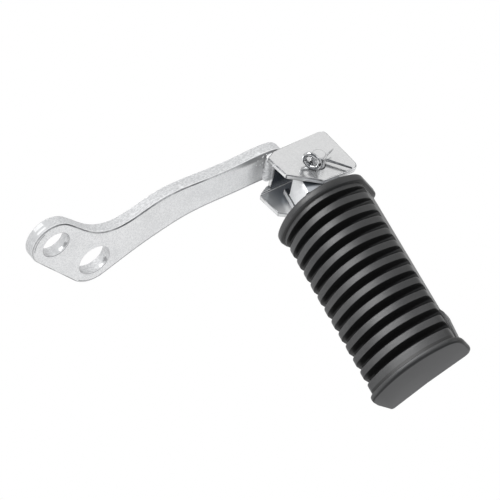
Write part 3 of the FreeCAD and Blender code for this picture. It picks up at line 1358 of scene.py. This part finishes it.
@dataclass
class RubberSleeve:
    """Ribbed rubber: grooves repeat along the peg, and a bead closes each end.

    Sizes are in the peg's frame. A groove's profile has a distance from its wall, a share of its depth and
    a painted shade at each point.
    """

    start: float = 13.7
    end: float = 120.3
    half: float = 21.9
    shift: float = -1.6
    edge: float = 4.2
    crown: Band = (10.25, 3.9)
    bottom: Band = (-11.0, -7.6)
    taper: float = 0.022
    lean: Point = (1.6, -0.035, -0.0008)
    shoulder: float = 1.9
    bead_shoulder: float = 4.6
    corner: float = 3.0
    corner_left: float = 1.4
    draft_left: float = 2.9
    draft_share: float = 0.38
    drop_left: float = 1.3
    wall_top: float = -1.2
    grooves: int = 12
    first_end: float = 24.6
    pitch: float = 7.85
    groove: float = 3.9
    depth: float = 5.0
    floor_extra: float = 3.0
    wrap: float = 1.7
    wrap_low: float = -3.0
    wrap_edge: float = 0.1
    # A profile's third number is painted shade: below one darkens the tread's colour
    lip_in: Profile = ((0.3, 0.0, 1.0), (0.14, 0.0, 1.0), (0.04, 0.015, 0.97), (0.0, 0.07, 0.6))
    lip_out: Profile = ((0.8, 0.0, 1.0), (0.55, 0.004, 1.0), (0.25, 0.03, 1.0), (0.0, 0.12, 1.0))
    fall: Profile = ((-0.05, 0.6, 0.6), (-0.15, 0.88, 1.0), (-0.5, 0.98, 1.0), (-1.0, 1.0, 1.0))
    bead: float = 1.4
    bead_in: float = 4.5
    bead_out: float = 3.2
    # The beads' shades paint dark lines along their creases
    bead_in_front: Profile = (
        (0.0, 1.1, 1.0), (0.08, 0.7, 1.0), (0.32, 0.32, 1.0), (0.7, 0.08, 1.0), (1.1, 0.0, 1.0))
    bead_in_back: Profile = ((-1.1, 0.0, 1.0), (-0.6, 0.12, 1.0), (-0.2, 0.5, 0.9), (0.0, 1.1, 0.8))
    bead_out_front: Profile = ((0.0, 1.3, 0.3), (0.25, 0.5, 0.5), (0.5, 0.12, 0.9), (0.85, 0.0, 1.0))
    bead_out_back: Profile = (
        (-1.5, 0.0, 1.0), (-1.0, 0.1, 0.94), (-0.45, 0.35, 0.88), (-0.1, 0.75, 0.9), (0.0, 1.2, 1.0))
    slide_in: float = -0.1
    slide_out: float = 0.5
    wide_in: float = 0.35
    wide_out: float = 0.6
    # Painted shade in the creases beside the beads
    crease_in: Band = (0.2, 0.8)
    crease_out: tuple[Band, ...] = ((2.2, 1.0), (1.75, 0.9), (1.4, 0.45), (0.9, 0.35), (0.15, 0.35))
    lug_span: Band = (97.0, 114.0)
    lug_crest: Band = (2.4, 3.84)
    lug_y: Band = (-7.0, -1.5)
    lug_out: float = 0.9
    lug_root: float = 1.0
    lug_round: float = 0.4
    lug_steps: int = 3
    bottom_steps: int = 7
    corner_steps: int = 5
    shoulder_steps: int = 6
    crown_steps: int = 22
    tolerance: float = 0.01
    names: tuple[str, ...] = ("base", "land", "floor", "land_x", "floor_x", "low", "swell", "tread")
    finish: TreadRubber = TreadRubber()

    def point(self, ring: Ring, x: float, base: float, **rest: float) -> dict[str, float]:
        """One point of a station's section, with the numbers that the section rule turns into a height."""
        plain = dict.fromkeys(self.names, 0.0)
        return {**plain, "x": x, "base": base, "swell": ring.swell, "tread": 1.0, **rest}

    def underside(self, ring: Ring, sign: int) -> list[dict[str, float]]:
        """Half of the bottom and its lower corner.

        Args:
            ring: The station.
            sign: 1 for the right half, -1 for the left, which leans in and hangs lower.

        Returns:
            Points from the middle outwards.
        """
        left = (self.draft_left, self.drop_left, self.corner_left)
        draft, drop, corner = left if sign < 0 else (0.0, 0.0, self.corner)
        turn = self.half + ring.swell - corner - draft
        shares = [i / self.bottom_steps for i in range(self.bottom_steps)]
        found = [(turn * k, -drop * k) for k in shares]
        for i in range(self.corner_steps + 1):
            a = math.radians(90.0 * i / self.corner_steps)
            found.append((turn + corner * math.sin(a), corner * (1.0 - math.cos(a)) - drop))
        return [self.point(ring, sign * x, y - ring.swell, low=1.0) for x, y in found]

    def wall(self, ring: Ring, sign: int) -> list[dict[str, float]]:
        """Wall of one side, which the grooves run down on the left.

        Args:
            ring: The station.
            sign: 1 for the right side, -1 for the left.

        Returns:
            Points from the bottom upwards.
        """
        wide, low = self.half + ring.swell, self.wrap_low
        draft, wrap = (self.draft_left * self.draft_share, self.wrap) if sign < 0 else (0.0, 0.0)
        shade = 1.0 - ring.sunk if sign < 0 else 1.0
        found = [self.point(ring, sign * (wide - draft), low - self.wrap_edge)]
        for y in (low + self.wrap_edge, self.wall_top):
            x = wide - draft * y / low - wrap * ring.sunk
            found.append(self.point(ring, sign * x, y, tread=shade))
        return found

    def tread(self, ring: Ring, sign: int) -> list[dict[str, float]]:
        """Shoulder and half of the crown, sunk towards the groove's floor.

        Args:
            ring: The station.
            sign: 1 for the right half, -1 for the left.

        Returns:
            Points from the wall to the crown.
        """
        wide, q = self.half + ring.swell, ring.sunk
        flared = sign > 0 and ring.swell > 0.0 and ring.along > self.end - self.bead_out - self.tolerance
        shoulder = self.bead_shoulder if flared else self.shoulder
        inner = wide - shoulder
        deepest = self.half - (self.wrap if sign < 0 else 0.0)
        spots = []
        for i in range(self.shoulder_steps + 1):
            t = i / self.shoulder_steps
            spots.append((wide - t * t * shoulder, self.edge - (1.0 - t) ** 2 * shoulder, t * t, inner))
        for i in range(1, self.crown_steps + 1):
            x = inner * (1.0 - i / self.crown_steps)
            spots.append((x, self.edge, 1.0, x))
        found = []
        for x, base, land, land_x in spots:
            deep = min(x, deepest)
            across = sign * (x * (1.0 - q) + deep * q)
            height = base * (1.0 - q) + (self.edge - self.depth) * q
            found.append(self.point(ring, across, height, land=land * (1.0 - q), floor=q, land_x=land_x,
                                    floor_x=deep, tread=ring.shade * (1.0 - q)))
        return found

    def outline(self, ring: Ring) -> list[dict[str, float]]:
        """Whole section of one station, anticlockwise from the bottom's middle."""
        right, left = ([*self.underside(ring, n), *self.wall(ring, n), *self.tread(ring, n)] for n in (1, -1))
        return right + list(reversed(left[1:-1]))

    def strip(self, rings: list[Ring], close: tuple[bool, bool]) -> bpy.types.Mesh:
        """Mesh of consecutive stations with the section's numbers stored on its points.

        Args:
            rings: Stations in order along the peg.
            close: Whether to close the first and the last station.

        Returns:
            The mesh, flat until the section rule lifts it.
        """
        bm = bmesh.new()
        layers = {n: bm.verts.layers.float.new(n) for n in self.names}
        loops = []
        for ring in rings:
            loop = []
            slide = ring.slide * max(0.0, ring.swell) / self.bead
            for p in self.outline(ring):
                v = bm.verts.new((p["x"] * (1.0 + ring.wide / self.half) + slide, 0.0, ring.along))
                for n, layer in layers.items():
                    v[layer] = p[n]
                loop.append(v)
            loops.append(loop)
        bridge(bm, loops)
        if close[0]:
            bm.faces.new(list(reversed(loops[0])))
        if close[1]:
            bm.faces.new(loops[-1])
        return mesh_from("sleeve strip", bm)

    def groove_unit(self) -> bpy.types.Mesh:
        """One groove between two half lands.

        Returns:
            The strip, centred on zero.
        """
        land, half = self.pitch / 2, self.groove / 2
        rings = [Ring(-land)]
        rings += [Ring(-half - s, q, shade=k) for s, q, k in self.lip_in + self.fall]
        rings += [Ring(half + s, q, shade=k) for s, q, k in reversed(self.lip_out + self.fall)]
        return self.strip(rings + [Ring(land)], (False, False))

    def inner_end(self) -> bpy.types.Mesh:
        """Bead at the hinge end, up to the first half land.

        Returns:
            The strip, closed at the hinge.
        """
        stop = self.start + self.bead_in
        bead = Bead(self.start, stop, self.bead_in_front, self.bead_in_back, self.slide_in, self.wide_in)
        last = self.first_end - self.groove / 2 - self.pitch / 2
        crease = Ring(stop + self.crease_in[0], shade=self.crease_in[1])
        return self.strip(bead.rings(self.bead) + [crease, Ring(last)], (True, False))

    def outer_end(self) -> bpy.types.Mesh:
        """Smooth band, bead and end face at the foot's outer end.

        Returns:
            The strip, closed at the end face.
        """
        start = self.end - self.bead_out
        bead = Bead(start, self.end, self.bead_out_front, self.bead_out_back, self.slide_out, self.wide_out)
        first = self.first_end - self.groove / 2 + (self.grooves - 0.5) * self.pitch
        crease = [Ring(start - back, shade=k) for back, k in self.crease_out]
        return self.strip([Ring(first)] + crease + bead.rings(self.bead), (False, True))

    def arc(self, f: FieldNodes, rise: Socket, width: Socket, at: Socket) -> Socket:
        """Height of a circular dome at a point across.

        Args:
            f: Tree to build in.
            rise: Height of the dome's middle.
            width: Half of its width.
            at: Distance from its middle.

        Returns:
            The height.
        """
        radius = f.math("DIVIDE", f.plus(f.times(width, width), f.times(rise, rise)), f.times(rise, 2.0))
        inside = f.minus(f.times(radius, radius), f.times(at, at))
        return f.plus(f.minus(rise, radius), f.math("SQRT", inside))

    def groove_row(self, f: FieldNodes, unit: bpy.types.Object) -> Socket:
        """Grooves repeated along the peg.

        Args:
            f: Tree to build in.
            unit: Groove unit to repeat.

        Returns:
            The row, realized.
        """
        count, pitch = f.count("Grooves", self.grooves), f.number("Pitch", self.pitch)
        first = f.number("First Groove", self.first_end - self.groove / 2)
        seed = f.input("Groove Unit", "NodeSocketObject", unit)
        row = f.node("GeometryNodeMeshLine",
                     {"Count": count, "Start Location": f.point(z=first), "Offset": f.point(z=pitch)})
        shape = f.node("GeometryNodeObjectInfo", {"Object": seed})
        copies = f.node("GeometryNodeInstanceOnPoints",
                        {"Points": row.outputs[0], "Instance": shape.outputs["Geometry"]})
        return f.node("GeometryNodeRealizeInstances", {0: copies.outputs[0]}).outputs[0]

    def lifted_place(self, f: FieldNodes) -> Socket:
        """Place of every point on the domed, tapered and leaning section.

        Args:
            f: Tree to build in.

        Returns:
            The place.
        """
        start, end = f.number("Start", self.start), f.number("End", self.end)
        half, extra = f.number("Half Width", self.half), f.number("Floor Extra", self.floor_extra)
        lean = [f.number(f"Lean {n}", value) for n, value in enumerate(self.lean)]
        flat = f.node("ShaderNodeSeparateXYZ", {0: f.node("GeometryNodeInputPosition", {}).outputs[0]})
        x, s = flat.outputs["X"], flat.outputs["Z"]
        k = f.math("DIVIDE", f.minus(s, start), f.minus(end, start))

        def along(name: str, pair: Band) -> Socket:
            """Value between one at the hinge end and one at the outer end."""
            first, last = f.number(f"{name} In", pair[0]), f.number(f"{name} Out", pair[1])
            return f.plus(first, f.times(k, f.minus(last, first)))

        swell, dome = f.stored("swell"), along("Crown", self.crown)
        land = self.arc(f, f.plus(dome, swell), f.plus(half, swell), f.stored("land_x"))
        floor = self.arc(f, dome, f.plus(half, extra), f.stored("floor_x"))
        y = f.stored("base")
        for share, height in (("land", land), ("floor", floor), ("low", along("Bottom", self.bottom))):
            y = f.plus(y, f.times(f.stored(share), height))
        shove = f.plus(lean[0], f.times(x, f.plus(lean[1], f.times(x, lean[2]))))
        slim = f.minus(1.0, f.times(k, f.number("Taper", self.taper)))
        return f.point(f.times(x, slim), y, f.plus(s, f.times(shove, f.minus(1.0, k))))

    def section_rule(self, material: bpy.types.Material, unit: bpy.types.Object) -> FieldNodes:
        """Tree that repeats the groove along the peg and lifts every point to the section.

        Args:
            material: Rubber.
            unit: Groove unit to repeat.

        Returns:
            The tree, ready to run on the two ends.
        """
        f = FieldNodes("ribbed sleeve")
        whole = f.joined(f.entry.outputs["Geometry"], self.groove_row(f, unit))
        lifted = f.node("GeometryNodeSetPosition", {"Geometry": whole, "Position": self.lifted_place(f)})
        closed = f.node("GeometryNodeMergeByDistance",
                        {"Geometry": lifted.outputs[0], "Distance": self.tolerance})
        f.finish(closed.outputs[0], material)
        return f

    def lug_mesh(self) -> bpy.types.Mesh:
        """Moulded pip on the right wall, steep towards the hinge and run out towards the bead.

        Returns:
            The pip, in the sleeve's frame.
        """
        start, stop = self.lug_span
        wall, crest, root = self.half, self.half + self.lug_out, self.half - self.lug_root
        profile = [(root, start), (wall, start), *((crest, start + s) for s in self.lug_crest),
                   (wall, stop), (root, stop)]
        bm = bmesh.new()
        low, high = ([bm.verts.new((x, y, s)) for x, s in profile] for y in self.lug_y)
        bm.faces.new(low)
        bm.faces.new(list(reversed(high)))
        bridge(bm, [high, low])
        edge = self.lug_round * self.lug_out
        rim = [e for e in bm.edges if sum(v.co.x for v in e.verts) / 2 > wall + edge]
        bmesh.ops.bevel(bm, geom=rim, offset=edge, segments=self.lug_steps, affect="EDGES", profile=0.5)
        return mesh_from("lug", bm)

    def ribbed(self, material: bpy.types.Material) -> bpy.types.Object:
        """Beads and grooves in one piece.

        Args:
            material: Rubber.

        Returns:
            The piece, in the sleeve's frame.
        """
        unit = add_piece("groove unit", self.groove_unit())
        bm = bmesh.new()
        for mesh in (self.inner_end(), self.outer_end()):
            bm.from_mesh(mesh)
            bpy.data.meshes.remove(mesh)
        piece = add_piece("ribbed_sleeve", mesh_from("ribbed_sleeve", bm))
        self.section_rule(material, unit).run(piece)
        bpy.data.objects.remove(unit)
        return piece

    def build(self) -> bpy.types.Object:
        """Make the sleeve.

        Returns:
            The sleeve, replacing its solid.
        """
        material = self.finish.material()
        piece = self.ribbed(material)
        bm = bmesh.new()
        bm.from_mesh(piece.data)
        tread, known = bm.verts.layers.float.get("tread"), set(bm.verts)
        bm.from_mesh(self.lug_mesh())
        for v in set(bm.verts) - known:
            v[tread] = 1.0
        bmesh.ops.translate(bm, verts=bm.verts, vec=(self.shift, 0.0, 0.0))
        bmesh.ops.transform(bm, matrix=AXES.peg(True), verts=bm.verts)
        bmesh.ops.recalc_face_normals(bm, faces=bm.faces)
        for face in bm.faces:
            face.material_index = 0
        bm.to_mesh(piece.data)
        bm.free()
        piece.data.materials.clear()
        piece.data.materials.append(material)
        smooth(piece.data, CURVED_ANGLE)
        settle(piece, "footrest_rubber", Body.PEG)
        return piece


@dataclass
class SolidMetal:
    """Piece whose solid is copied with rounded edges and dressed."""

    node: str
    name: str
    body: Body
    slot: Slot
    edges: SoftEdges
    finish: PlateZinc | BrightZinc

    def build(self, nodes: dict[str, bpy.types.Object]) -> bpy.types.Object:
        """Copy, round and dress the piece.

        Args:
            nodes: CAD nodes by name.

        Returns:
            The piece, replacing its solid.
        """
        piece = self.edges.copy(nodes[self.node], self.name)
        piece.data.materials.append(self.finish.material())
        settle(piece, self.node, self.body)
        return piece


@dataclass
class PlateArm(SolidMetal):
    """Blanked plate with two mounting holes and painted shade along its lower rim."""

    node: str = "support_arm"
    name: str = "plate_arm"
    body: Body = Body.BRACKET
    slot: Slot = Slot.PLATE
    edges: SoftEdges = SoftEdges(0.36, rim=LowerRim(0.85))
    finish: PlateZinc = PlateZinc()


@dataclass
class FoldedClevis(SolidMetal):
    """U-folded sheet with an upper and a lower ear, rounded at its free corner."""

    node: str = "hinge_bracket"
    name: str = "folded_clevis"
    body: Body = Body.BRACKET
    slot: Slot = Slot.SHEET
    edges: SoftEdges = SoftEdges(0.45, 3, PlanCorner(u=145.3, w=4.55, radius=3.5, folds=(10.0, -16.1)))
    finish: BrightZinc = FoldedZinc()


@dataclass
class PivotPin(SolidMetal):
    """Headed pin through both ears."""

    node: str = "hinge_pin"
    name: str = "pivot_pin"
    body: Body = Body.BRACKET
    slot: Slot = Slot.PIN
    edges: SoftEdges = SoftEdges(0.3)
    finish: BrightZinc = BrightZinc()


@dataclass
class PegHead(SolidMetal):
    """Folded head that turns on the pin and carries the rubber."""

    node: str = "peg_core"
    name: str = "peg_head"
    body: Body = Body.PEG
    slot: Slot = Slot.CORE
    edges: SoftEdges = SoftEdges(0.35, 3)
    finish: BrightZinc = CoreSteel()


@dataclass
class WeldSeam:
    """Fillet weld at the web's edge: ripples follow the seam and spatter lies beside it."""

    low: Point = (114.4, -6.6, 7.0)
    middle: Point = (113.5, -0.4, 7.2)
    high: Point = (113.9, 7.4, 6.8)
    ripples: int = 13
    ripple: Point = (3.0, 0.9, 1.75)
    ripple_scale: Band = (0.88, 1.1)
    lean_low: Point = (-0.2, 0.1, -0.25)
    lean_high: Point = (0.2, 0.6, 0.25)
    drops: int = 9
    drop_low: Point = (106.5, 2.0, 5.9)
    drop_high: Point = (114.0, 8.2, 6.1)
    drop_radius: Band = (0.16, 0.42)
    seed: int = 5
    edges: SoftEdges = SoftEdges(0.2)
    finish: WeldMetal = WeldMetal()

    def ripple_row(self, f: FieldNodes, ball: Socket, seed: Socket) -> Socket:
        """Ripples laid along the seam.

        Args:
            f: Tree to build in.
            ball: Unit ball.
            seed: Seed of their sizes and leans.

        Returns:
            The ripples, as instances.
        """
        ends = {"Start": f.vector("Low", self.low), "Middle": f.vector("Middle", self.middle),
                "End": f.vector("High", self.high)}
        count, size = f.count("Ripples", self.ripples), f.vector("Ripple Size", self.ripple)
        line = f.node("GeometryNodeCurveQuadraticBezier", ends)
        steps = f.node("GeometryNodeResampleCurve", {"Curve": line.outputs[0], "Count": count})
        crest = f.node("GeometryNodeTransform", {"Geometry": ball, "Scale": size})
        low, high = self.ripple_scale
        grow = f.node("FunctionNodeRandomValue", {2: low, 3: high, "Seed": seed}, data_type="FLOAT")
        lean = f.node("FunctionNodeRandomValue", {0: self.lean_low, 1: self.lean_high, "Seed": seed},
                      data_type="FLOAT_VECTOR")
        return f.node("GeometryNodeInstanceOnPoints",
                      {"Points": steps.outputs[0], "Instance": crest.outputs[0],
                       "Rotation": lean.outputs[0], "Scale": grow.outputs[1]}).outputs[0]

    def spatter(self, f: FieldNodes, ball: Socket, seed: Socket) -> Socket:
        """Drops scattered beside the seam.

        Args:
            f: Tree to build in.
            ball: Unit ball.
            seed: Seed of their places and sizes.

        Returns:
            The drops, as instances.
        """
        drops = f.count("Drops", self.drops)
        corners = {0: f.vector("Drop Low", self.drop_low), 1: f.vector("Drop High", self.drop_high)}
        spot = f.node("FunctionNodeRandomValue", {**corners, "Seed": seed}, data_type="FLOAT_VECTOR")
        spots = f.node("GeometryNodePoints", {"Count": drops, "Position": spot.outputs[0]})
        low, high = self.drop_radius
        tiny = f.node("FunctionNodeRandomValue", {2: low, 3: high, "Seed": seed}, data_type="FLOAT")
        return f.node("GeometryNodeInstanceOnPoints",
                      {"Points": spots.outputs[0], "Instance": ball, "Scale": tiny.outputs[1]}).outputs[0]

    def rule(self, material: bpy.types.Material) -> FieldNodes:
        """Tree that adds ripples and spatter to the bead.

        Args:
            material: Weld metal.

        Returns:
            The tree, ready to run on the bead's solid in the arm's frame.
        """
        f = FieldNodes("weld seam")
        seed = f.count("Seed", self.seed)
        ball = f.node("GeometryNodeMeshIcoSphere", {"Radius": 1.0, "Subdivisions": 3}).outputs[0]
        laid, thrown = self.ripple_row(f, ball, seed), self.spatter(f, ball, seed)
        f.finish(f.joined(f.entry.outputs["Geometry"], laid, thrown), material)
        return f

    def build(self, nodes: dict[str, bpy.types.Object]) -> bpy.types.Object:
        """Make the seam.

        Args:
            nodes: CAD nodes by name.

        Returns:
            The seam, replacing its solid.
        """
        piece = self.edges.copy(nodes["weld_bead"], "weld_seam")
        piece.data.transform(AXES.arm().inverted())
        self.rule(self.finish.material()).run(piece)
        piece.data.transform(AXES.arm())
        smooth(piece.data, CURVED_ANGLE)
        settle(piece, "weld_bead", Body.BRACKET)
        return piece


@dataclass
class SplitPin:
    """Half-round wire bent to an eye, through the pin, with one long and one short leg."""

    height: float = 11.7
    neck: float = 123.6
    wire: float = 1.05
    gap: float = 0.18
    reach: float = 4.0
    straight: float = 0.8
    bend: float = 0.2
    long_tip: Point = (140.0, 11.6, 33.9)
    short_tip: Point = (138.9, 12.6, 20.5)
    long_taper: float = 0.5
    short_taper: float = 0.45
    eye: float = 3.604
    eye_lift: float = 2.75
    eye_slide: float = 0.9
    eye_turn: float = 0.45
    eye_wire: float = 1.15
    eye_step: int = 30
    finish: PinSteel = PinSteel()

    def leg(self, side: int, tip: Point, taper: float) -> Wire:
        """One half of the wire, from the eye's root to its tip.

        Args:
            side: 1 for the half outboard, -1 for the one inboard.
            tip: Where the leg ends.
            taper: Share of the radius that is left there.

        Returns:
            The wire in the arm's frame, with its flat towards the other half.
        """
        v, w = self.height, AXES.pin_w + side * self.gap
        root = AXES.pin_u + self.reach
        bend = tuple((1.0 - self.bend) * a + self.bend * b for a, b in zip((root, v, w), tip))
        line = [(u, v, w) for u in (self.neck, AXES.pin_u, root - self.straight, root)]
        return Wire([*line, bend, tip], self.wire, (0.0, 0.0, -float(side)), taper)

    def loop(self) -> Wire:
        """Round eye, turned a little about the upright.

        Returns:
            The wire in the arm's frame.
        """
        v, w = self.height + self.eye_lift, AXES.pin_w + self.eye_slide
        points = []
        for degrees in range(0, 361, self.eye_step):
            a = math.radians(degrees)
            aside = self.eye * math.sin(a)
            points.append((self.neck + self.eye_turn * aside, v - self.eye * math.cos(a), w + aside))
        return Wire(points, self.eye_wire)

    def build(self) -> bpy.types.Object:
        """Make the split pin.

        Returns:
            The pin, replacing its solid.
        """
        bm = bmesh.new()
        self.leg(1, self.long_tip, self.long_taper).add_to(bm)
        self.leg(-1, self.short_tip, self.short_taper).add_to(bm)
        self.loop().add_to(bm)
        bmesh.ops.transform(bm, matrix=AXES.arm(), verts=bm.verts)
        bmesh.ops.recalc_face_normals(bm, faces=bm.faces)
        piece = add_piece("cotter", mesh_from("cotter", bm))
        piece.data.materials.append(self.finish.material())
        smooth(piece.data, CURVED_ANGLE)
        settle(piece, "split_pin", Body.BRACKET)
        return piece


@dataclass(frozen=True)
class Lamp:
    """Soft square lamp, in metres and watts."""

    name: str
    place: Point
    size: float
    power: float

    def build(self, aim: Point) -> None:
        """Add the lamp.

        Args:
            aim: Where it points.
        """
        light = bpy.data.lights.new(self.name, "AREA")
        light.shape, light.size, light.energy = "SQUARE", self.size, self.power
        holder = add_piece(self.name, light)
        holder.location = self.place
        holder.rotation_euler = (Vector(aim) - Vector(self.place)).to_track_quat("-Z", "Y").to_euler()


@dataclass
class Studio:
    """Plain floor, white surround, soft lights and the photograph's camera, in metres."""

    floor_drop: float = 0.42
    floor_size: float = 12.0
    floor_tone: Colour = (0.9, 0.9, 0.9)
    floor_rough: float = 0.9
    eye: Point = (0.1219, -0.5530, 0.7665)
    right: Point = (0.7082, -0.5731, -0.4120)
    up: Point = (0.7026, 0.6283, 0.3338)
    lens: float = 156.98
    sensor: float = 36.0
    fill: float = 0.8
    fill_tone: Colour = (0.97, 0.985, 1.0)
    ceiling: Point = (0.0, 0.0, 1.0)
    ceiling_band: Band = (0.5, 0.9)
    dark_side: Point = (0.45, -0.85, 0.2)
    dark_band: Band = (0.7, 0.97)
    dim_tone: Colour = (0.22, 0.23, 0.25)
    aim: Point = (0.075, -0.06, -0.06)
    lamps: tuple[Lamp, ...] = (
        Lamp("key", (0.085, 0.83, 0.95), 0.6, 9.5),
        Lamp("side", (1.05, -0.45, 0.45), 0.7, 1.5),
    )

    def world(self) -> None:
        """White to the camera; in reflections white with a dim ceiling and a dim camera side."""
        world = bpy.data.worlds.new("surround")
        bpy.context.scene.world = world
        world.use_nodes = True
        w = ShaderTree(world.node_tree)
        rays = w.node("ShaderNodeLightPath")
        way = w.node("ShaderNodeTexCoord").outputs["Generated"]
        dims = [w.span(w.dot(way, Vector(side).normalized()), band)
                for side, band in ((self.ceiling, self.ceiling_band), (self.dark_side, self.dark_band))]
        seen = w.tree.nodes["Background"]
        shine, lit = (w.node("ShaderNodeBackground") for _ in range(2))
        w.put(seen.inputs["Color"], WHITE)
        w.put(shine.inputs["Color"], w.mix(w.math("MAXIMUM", *dims), WHITE, self.dim_tone))
        w.put(lit.inputs["Color"], self.fill_tone)
        w.put(lit.inputs["Strength"], self.fill)
        unseen = w.layer(w.mirror_rays(rays), lit.outputs[0], shine.outputs[0])
        whole = w.layer(rays.outputs["Is Camera Ray"], unseen, seen.outputs[0])
        w.put(w.tree.nodes["World Output"].inputs["Surface"], whole)

    def floor(self) -> None:
        """Pale floor well under the held part, white to the camera and in reflections."""
        bm = bmesh.new()
        bmesh.ops.create_grid(bm, x_segments=2, y_segments=2, size=self.floor_size)
        bmesh.ops.translate(bm, verts=bm.verts, vec=(0.0, 0.0, -self.floor_drop))
        piece = add_piece("studio_floor", mesh_from("studio_floor", bm))
        g = Graph("studio floor")
        g.set("Base Color", self.floor_tone)
        g.set("Roughness", self.floor_rough)
        glow = g.node("ShaderNodeEmission")
        g.put(glow.inputs["Color"], WHITE)
        rays = g.node("ShaderNodeLightPath")
        bright = g.math("MAXIMUM", rays.outputs["Is Camera Ray"], g.mirror_rays(rays))
        whole = g.layer(bright, g.shader.outputs[0], glow.outputs[0])
        g.put(g.tree.nodes["Material Output"].inputs["Surface"], whole)
        piece.data.materials.append(g.material)

    def camera(self) -> None:
        """Camera at the photograph's place."""
        data = bpy.data.cameras.new("camera")
        data.lens, data.sensor_width = self.lens, self.sensor
        holder = add_piece("camera", data)
        x, y = Vector(self.right).normalized(), Vector(self.up).normalized()
        z = x.cross(y).normalized()
        y = z.cross(x)
        turn = Matrix((x, y, z)).transposed().to_4x4()
        holder.matrix_world = Matrix.Translation(self.eye) @ turn
        bpy.context.scene.camera = holder

    def build(self) -> None:
        """Set up the whole studio."""
        bpy.context.scene.view_settings.view_transform = "Standard"
        self.world()
        self.floor()
        for lamp in self.lamps:
            lamp.build(self.aim)
        self.camera()


def main() -> None:
    """Build every piece in order and report it."""
    logging.basicConfig(level=logging.INFO, format="%(name)s: %(message)s")
    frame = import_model()
    nodes = frame["nodes"]
    Studio().build()
    pieces = [
        PlateArm().build(nodes),
        FoldedClevis().build(nodes),
        WeldSeam().build(nodes),
        PivotPin().build(nodes),
        SplitPin().build(),
        PegHead().build(nodes),
        RubberSleeve().build(),
    ]
    for piece in pieces:
        LOG.info("%s: %d faces", piece.name, len(piece.data.polygons))


if __name__ == "__main__":
    main()
